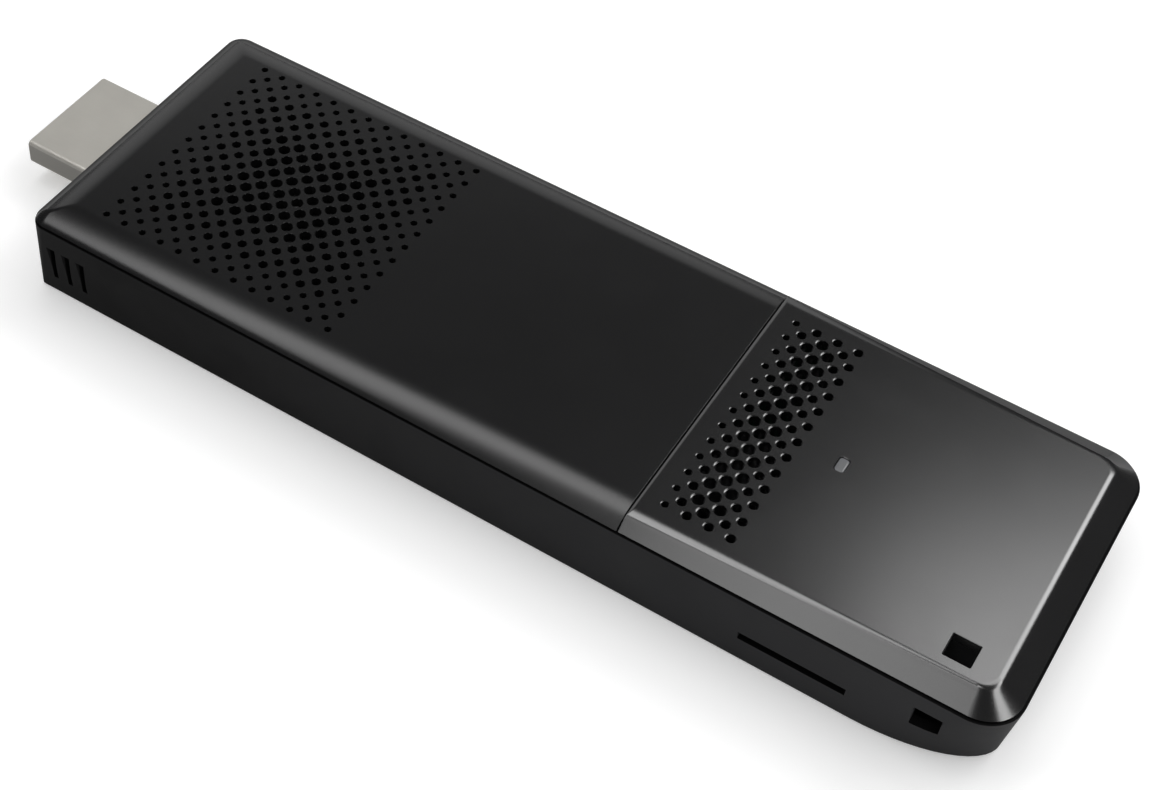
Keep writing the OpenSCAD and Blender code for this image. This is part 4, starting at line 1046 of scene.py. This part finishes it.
def gloss_rings():
    """Rings of the gloss cover's outside: its bevel, the rounded crest and the crown of its top.
    Each is blended from insets at the split, the tail and the sides, a corner radius and a height."""
    crest_z = BODY_H - CROWN_H
    foot = Vector((0, 0, 0, 0, TAIL_CORNER_R, SEAM_Z))
    crest = Vector((0, TAIL_BEVEL, BEVEL_AT_SPLIT, BEVEL_AT_TAIL, TOP_CORNER_R, crest_z))
    inwards = Vector((CROWN_AT_SPLIT, CROWN_AT_TAIL, CROWN_W, CROWN_TAIL_W, 0, 0))
    upwards = Vector((0, 0, 0, 0, 0, CROWN_H))

    def crown(k):
        return crest + inwards * k + upwards * (1 - (1 - k) ** 2)

    start = foot.lerp(crest, CREST_START)
    end = crown(CREST_END)
    shapes = [foot.lerp(crest, COVER_RAISE / (crest_z - SEAM_Z))]
    for i in range(CREST_STEPS + 1):
        k = i / CREST_STEPS
        shapes.append(start.lerp(crest, k).lerp(crest.lerp(end, k), k))
    shapes += [crown(CREST_END + (1 - CREST_END) * i / CROWN_STEPS) for i in range(1, CROWN_STEPS + 1)]
    return [at_height(outline(TAIL_EDGE + split, BODY_LEN - tail, HALF_W - side, HALF_W - tail_side,
                              SPLIT_CORNER_R, radius), z)
            for split, tail, side, tail_side, radius, z in shapes]


def gloss_cover():
    """Bevelled gloss cover with its vent band, light window and lanyard hole."""
    bm = loft(cover_inside(tail_cover_ring, BODY_H - COVER_T) + gloss_rings())
    join_end_face(bm, TAIL_EDGE)
    cover = as_object("gloss_tail_cover", bm)
    combine(cover, grille_land(), "UNION")
    cover = drill(cover, band_holes(), BODY_H, "gloss_black", GLOSS_LIP)
    cuts = bmesh.new()
    inside = BODY_H - COVER_T - CUT_PAST
    flared_cut(cuts, box_outline(LIGHT_L + 2 * LIGHT_CLEAR, LIGHT_W + 2 * LIGHT_CLEAR, LIGHT_CORNER),
               crosswise(middle("light_guide")), BODY_H, inside, LIGHT_CHAMFER)
    flared_cut(cuts, box_outline(LANYARD_W, LANYARD_W, LANYARD_CORNER),
               lambda u, v, depth: (LANYARD_X + u, LANYARD_INSET - HALF_W + v, depth),
               BODY_H, inside, NEAR_CHAMFER)
    cut_out(cover, cuts)
    settle(cover, "gloss_black", "casing", "tail_cover")


# Display plug

def formed_tube(points, place, mouth, rear):
    """Tube of sheet metal with a rounded mouth. points(grow) gives its outline and place(u, v, depth)
    puts a point in the piece, with the depth counted outwards."""
    turn = TIP_TURN * TIP_R
    outside = [(mouth, -TIP_R), (mouth - turn, -turn), (mouth - TIP_R, 0), (rear, 0)]
    inside = [(rear, -SHEET_T), (mouth - MOUTH_L, -SHEET_T), (mouth, MOUTH_FLARE - SHEET_T)]
    bm = bmesh.new()
    skin(bm, sections(points, place, outside + inside), closed=True)
    tidy_faces(bm)
    return bm


def plug_shell():
    """Drawn shell of the display plug, rounded at its mouth."""
    low, high = span("plug_shell")
    bm = formed_tube(plug_outline(0), endwise((low + high) / 2), -low.x, -high.x)
    settle(as_object("display_plug_shell", bm), "nickel", "casing", "plug_shell")


def plug_core():
    """Insulator inside the plug, with the slot that takes the other side's tongue."""
    low, high = span("plug_insulator")
    place = endwise(middle("plug_shell"))
    fill = -SHEET_T - CORE_CLEAR
    steps = [(-low.x, fill - CORE_CHAMFER), (-low.x - CORE_CHAMFER, fill), (-high.x, fill)]
    core = as_object("plug_insulator_core", loft(sections(plug_outline(0), place, steps)))
    cuts = bmesh.new()
    flared_cut(cuts, box_outline(PLUG_SLOT_W, PLUG_SLOT_H, PLUG_SLOT_R), place,
               -low.x, PLUG_SLOT_FLOOR, CORE_CHAMFER)
    cut_out(core, cuts)
    settle(core, "black_insulator", "casing", "plug_insulator")


def contact_strip(length, width, bulge):
    """Contact along Y, with its tip at the origin, hung under a face and bent away near its tip."""
    low = -CONTACT_T
    top, tip, peak, foot, end = (-share * length for share in CONTACT_BEND)
    side = [(0, 0), (0, low / 2), (tip, low - bulge / 2), (peak, low - bulge), (foot, low - bulge / 2),
            (end, low), (-length, low), (-length, 0), (end, 0), (foot, -bulge / 2), (peak, -bulge),
            (top, -bulge / 2)]
    return as_object("strip", loft([[(x, y, z) for y, z in side] for x in (-width / 2, width / 2)]))


def plug_contacts():
    """Two rows of contacts in the plug's slot, with their tails on the board."""
    low, high = span("plug_contacts")
    shell = middle("plug_shell")
    board_low, board_high = span("main_board")
    fronts, tails, front_turns, tail_turns = [], [], [], []
    for count, side in PLUG_ROWS:
        upper = side > 0
        for i in range(count):
            y = shell.y + (i - (count - 1) / 2) * PLUG_PITCH
            fronts.append((low.x, y, shell.z + side * PLUG_SLOT_H / 2))
            front_turns.append((0, 0 if upper else math.pi, math.pi / 2))
            tails.append((board_low.x, y, board_high.z if upper else board_low.z))
            tail_turns.append((0, math.pi if upper else 0, math.pi / 2))
    front = contact_strip(-PLUG_SLOT_FLOOR - SHEET_T - low.x, PLUG_CONTACT_W, CONTACT_BULGE)
    contacts = place_parts("display_plug_contacts", front, fronts, "gold_contact", front_turns)
    tail = contact_strip(high.x - board_low.x, PLUG_CONTACT_W, 0)
    join(contacts, place_parts("tails", tail, tails, "gold_contact", tail_turns))
    settle(contacts, "gold_contact", "casing", "plug_contacts")


# Sockets, button and light window

def box_rings(place, width, height, rise, steps):
    """Rings of a box, raised by rise, at steps of depth and growth."""
    return sections(box_outline(width, height), lambda u, v, depth: place(u, rise + v, depth), steps)


def data_shell(which):
    """Formed shell of a data socket, with its leaf springs and its feet on the board."""
    tongue = f"data_tongue_{which}"
    low, high = span(f"data_shell_{which}")
    inside_low, inside_high = span(tongue)
    centre = (inside_low + inside_high) / 2
    half = (inside_high - inside_low) / 2
    place = upright(centre)
    socket = as_object(f"data_socket_shell_{which}",
                       formed_tube(data_outline(tongue, 0), place, high.y, low.y))
    more = bmesh.new()
    for x in (-LEAF_X, LEAF_X):
        for side in (-1, 1):
            add_loft(more, [[place(x + u, side * (half.z + v), high.y + y) for y, v in LEAF_LINE]
                            for u in (-LEAF_W / 2, LEAF_W / 2)])
    foot_z = span("main_board")[1].z - centre.z
    outer = high.x - centre.x
    for side in (-1, 1):
        foot = [(side * u, foot_z + v)
                for u, v in ((half.x, 0), (outer, 0), (outer, SHEET_T), (half.x, SHEET_T))]
        add_loft(more, [[place(u, v, centre.y + y) for u, v in foot]
                        for y in (-DATA_FOOT_HALF, DATA_FOOT_HALF)])
    tidy_faces(more)
    combine(socket, as_object("springs", more), "UNION")
    settle(socket, "sheet_steel", "casing", f"data_shell_{which}")


def data_tongue(which, finish):
    """Moulded block and tongue of a data socket."""
    node = f"data_tongue_{which}"
    low, high = span(node)
    place = upright((low + high) / 2)
    block = box_rings(place, high.x - low.x, high.z - low.z, 0, [(low.y, 0), (low.y + DATA_BLOCK, 0)])
    tongue = box_rings(place, DATA_TONGUE_W, DATA_TONGUE_T, DATA_LIFT,
                       [(low.y + DATA_BLOCK / 2, 0), (high.y - 2 * TONGUE_TIP, 0), (high.y, -TONGUE_TIP)])
    settle(joined(f"data_socket_tongue_{which}", block, tongue), finish, "casing", node)


def data_contacts(which, with_extra):
    """Contacts under a data socket's tongue, with the second set nearer the mouth."""
    node = f"data_contacts_{which}"
    centre = middle(f"data_tongue_{which}")
    face = centre.z + DATA_LIFT - DATA_TONGUE_T / 2
    front = span(node)[1].y
    step = DATA_MAIN_L * DATA_MAIN_STEP if with_extra else 0
    strip = contact_strip(DATA_MAIN_L, DATA_CONTACT_W, CONTACT_BULGE)
    contacts = place_parts(f"data_socket_contacts_{which}", strip,
                           [(centre.x + x, front - step, face) for x in DATA_MAIN], "gold_contact")
    if with_extra:
        strip = contact_strip(DATA_EXTRA_L, DATA_EXTRA_W, 0)
        join(contacts, place_parts("extra", strip, [(centre.x + x, front, face) for x in DATA_EXTRA],
                                   "gold_contact"))
    settle(contacts, "gold_contact", "casing", node)


def power_socket():
    """Small power socket with slanted lower corners, and its tongue."""
    low, high = span("power_shell")
    place = upright((low + high) / 2)
    points = slanted_outline(high.x - low.x, high.z - low.z, POWER_SLANT, POWER_CORNER)
    shell = as_object("power_socket_shell", formed_tube(points, place, high.y, low.y))
    settle(shell, "sheet_steel", "casing", "power_shell")
    back, tip = (point.y for point in span("power_tongue"))
    fill = -SHEET_T - CORE_CLEAR
    block = sections(points, place, [(back, fill), (back + POWER_BLOCK, fill)])
    tongue = box_rings(place, POWER_TONGUE_W, POWER_TONGUE_T, 0,
                       [(back + POWER_BLOCK / 2, 0), (tip - TONGUE_TIP, 0), (tip, -TONGUE_TIP / 2)])
    settle(joined("power_socket_tongue", block, tongue), "black_insulator", "casing", "power_tongue")


def power_button():
    """Power button with a crowned face and the flange that holds it in."""
    low, high = span("power_button")
    centre = middle("switch_body")
    place = upright(centre)
    steps = [(low.y + BUTTON_ROOT, 0)] + [(high.y - depth, grow) for depth, grow in BUTTON_CROWN]
    cap = sections(stadium_outline(BUTTON_W, BUTTON_H), place, steps)
    flange = box_rings(place, high.x - low.x, high.z - low.z, (low.z + high.z) / 2 - centre.z,
                       [(low.y + depth, grow) for depth, grow in BUTTON_FLANGE])
    settle(joined("power_button_cap", cap, flange), "satin_black", "button", "power_button")


def light_window():
    """Grey light guide with a softly domed window and the collar that holds it under the cover."""
    low, high = span("light_guide")
    place = crosswise((low + high) / 2)
    points = box_outline(LIGHT_L, LIGHT_W, LIGHT_CORNER)
    guide = sections(points, place, [(low.z, 0)] + [(high.z - depth, grow) for depth, grow in LIGHT_CROWN])
    under = BODY_H - COVER_T
    collar = sections(points, place, [(under - COLLAR, COLLAR), (under, COLLAR)])
    settle(joined("light_guide_window", guide, collar), "light_grey", "casing", "light_guide")


def card_spring():
    """Coil behind the card slider, which a card closes up when pushed in; it is made here at the length of
    its frame node.
    """
    low, high = span("card_spring")
    centre = (low + high) / 2
    radius = (high.z - low.z - SPRING_WIRE) / 2
    length = high.y - low.y - SPRING_WIRE
    steps = SPRING_TURNS * SPRING_STEPS
    rings = []
    for i in range(steps + 1):
        turn = math.tau * i / SPRING_STEPS
        outwards = Vector((math.cos(turn), 0, math.sin(turn)))
        y = low.y + SPRING_WIRE / 2 + length * i / steps
        wire = Vector((centre.x, y, centre.z)) + outwards * radius
        rings.append([wire + (outwards * math.cos(a) + Vector((0, math.sin(a), 0))) * SPRING_WIRE / 2
                      for a in full_turn(SPRING_SIDES)])
    coil = settle(as_object("card_spring_coil", loft(rings)), "sheet_steel", "casing", "card_spring")
    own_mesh(coil)


# Remaining frame nodes keep their shape and take the finish of their slot

def dress_frame():
    for row in frame["record"]["subparts"]:
        node = frame["nodes"][row["node"]]
        node.data.materials.clear()
        node.data.materials.append(finishes[row["material_slot"]])


# Stage and light. A softbox has two ends, each an azimuth and an elevation, a spread and a radiance

FLOOR_HALF = 6
FLOOR_DROP = 0.0001
FLOOR_PAINT = 0.85
FLOOR_LIFT = 0.3
FLOOR_FAR_LIFT = 0.9
FLOOR_FADE = (0.3, 1.5)
WORLD_LEVEL = 0.08
LAMP_DISTANCE = 2.0
SOFTBOXES = {
    "back_strip": ((-1.5, 60.2), (33.4, 40.1), 18.2, 3.4377),
    "edge_strip": ((10, 48), (32, 41), 9, 3.4377),
    "side_strip": ((36.6, 48.1), (93.9, 44.9), 14.9, 4.711),
    "upper_softbox": ((226.3, 45.7), (-7.9, 67.7), 13.9, 3.947),
    "top_softbox": ((9.8, 87), (186.6, 79.9), 17.4, 3.4377),
    "front_softbox": ((189.8, 76.4), (184.2, 25.4), 13.8, 2.0372),
    "left_fill": ((298.8, 21), (350.9, 23.6), 29.4, 0.7639),
    "right_fill": ((105, 34), (125, 34), 16, 1.4006),
}


def pale_floor():
    """Wide pale floor that keeps the shadow and stays near white to the eye and in reflections."""
    bm = bmesh.new()
    bmesh.ops.create_grid(bm, x_segments=4, y_segments=4, size=FLOOR_HALF)
    bmesh.ops.translate(bm, verts=bm.verts, vec=(0, 0, -FLOOR_DROP))
    floor = as_object("floor", bm)
    material = bpy.data.materials.new("pale_floor")
    material.use_nodes = True
    tree = material.node_tree
    tree.nodes.clear()
    rays = add_node(tree, "ShaderNodeLightPath").outputs
    shown = maths(tree, "MAXIMUM", rays["Is Camera Ray"], rays["Is Glossy Ray"])
    shown = maths(tree, "MAXIMUM", shown, rays["Is Transmission Ray"])
    away = add_node(tree, "ShaderNodeVectorMath", {0: object_place(tree)}, operation="LENGTH")
    level = ranged(tree, away.outputs["Value"], FLOOR_FADE, (FLOOR_LIFT, FLOOR_FAR_LIFT))
    glow = add_node(tree, "ShaderNodeEmission", {"Strength": maths(tree, "MULTIPLY", shown, level)})
    paint = add_node(tree, "ShaderNodeBsdfDiffuse", {"Color": (*[FLOOR_PAINT] * 3, 1)})
    both = add_node(tree, "ShaderNodeAddShader", {0: glow.outputs[0], 1: paint.outputs[0]})
    add_node(tree, "ShaderNodeOutputMaterial", {"Surface": both.outputs[0]})
    floor.data.materials.append(material)


def direction(azimuth, elevation):
    """Unit vector at an azimuth, from +Y towards +X, and an elevation."""
    a = math.radians(azimuth)
    e = math.radians(elevation)
    return Vector((math.sin(a) * math.cos(e), math.cos(a) * math.cos(e), math.sin(e)))


def put(name, data, place, axes):
    """Lamp or camera at a place, turned onto three axes."""
    holder = bpy.data.objects.new(name, data)
    bpy.context.scene.collection.objects.link(holder)
    holder.matrix_world = Matrix.Translation(place) @ Matrix(axes).transposed().to_4x4()
    return holder


def softbox(name, start, end, spread, radiance):
    """Lamp that faces the part from between two directions, spread wide, with a given radiance."""
    first = direction(*start)
    last = direction(*end)
    facing = (first + last).normalized()
    along = (last - first).normalized()
    lamp = bpy.data.lights.new(name, "AREA")
    lamp.shape = "RECTANGLE"
    lamp.size = 2 * LAMP_DISTANCE * math.tan(first.angle(last) / 2)
    lamp.size_y = 2 * LAMP_DISTANCE * math.tan(math.radians(spread) / 2)
    lamp.energy = radiance * math.pi * lamp.size * lamp.size_y
    put(name, lamp, facing * LAMP_DISTANCE, (along, facing.cross(along), facing))


def studio_light():
    world = bpy.data.worlds.new("studio")
    world.use_nodes = True
    background = world.node_tree.nodes["Background"]
    connect(world.node_tree, background, {"Color": (1, 1, 1, 1), "Strength": WORLD_LEVEL})
    bpy.context.scene.world = world
    for name, values in SOFTBOXES.items():
        softbox(name, *values)


# Photographed view: pixel sizes of the lens, then the angles and the point looked at

VIEW_W = 1169
VIEW_H = 790
FOCAL = 2024.77
AXIS_PIXEL = (459.79, 399.98)
AZIMUTH = 28.71
ELEVATION = 49.91
ROLL = 4.82
LOOK_AT = (47.54, 13.16 - HALF_W, 0)
DISTANCE = 218.56
SENSOR = 36
NEAREST = 0.01


def photo_camera():
    a, e, r = (math.radians(angle) for angle in (AZIMUTH, ELEVATION, ROLL))
    back = Vector((math.sin(a) * math.cos(e), -math.cos(a) * math.cos(e), math.sin(e)))
    right = Vector((math.cos(a), math.sin(a), 0))
    up = back.cross(right)
    turned_right = math.cos(r) * right + math.sin(r) * up
    turned_up = math.cos(r) * up - math.sin(r) * right
    place = (Vector(LOOK_AT) + DISTANCE * back) * MM + Vector((WALL_X, 0, 0))
    lens = bpy.data.cameras.new("camera")
    lens.sensor_fit = "HORIZONTAL"
    lens.sensor_width = SENSOR
    lens.lens = FOCAL * SENSOR / VIEW_W
    lens.shift_x = (VIEW_W / 2 - AXIS_PIXEL[0]) / VIEW_W
    lens.shift_y = (AXIS_PIXEL[1] - VIEW_H / 2) / VIEW_W
    lens.clip_start = NEAREST
    bpy.context.scene.camera = put("camera", lens, place, (turned_right, turned_up, back))


dress_frame()
lower_casing()
matte_cover()
gloss_cover()
plug_shell()
plug_core()
plug_contacts()
data_shell("first")
data_shell("second")
data_tongue("first", "black_insulator")
data_tongue("second", "blue_insulator")
data_contacts("first", False)
data_contacts("second", True)
power_socket()
power_button()
light_window()
card_spring()
pale_floor()
studio_light()
photo_camera()
bpy.context.scene.view_settings.view_transform = "Standard"
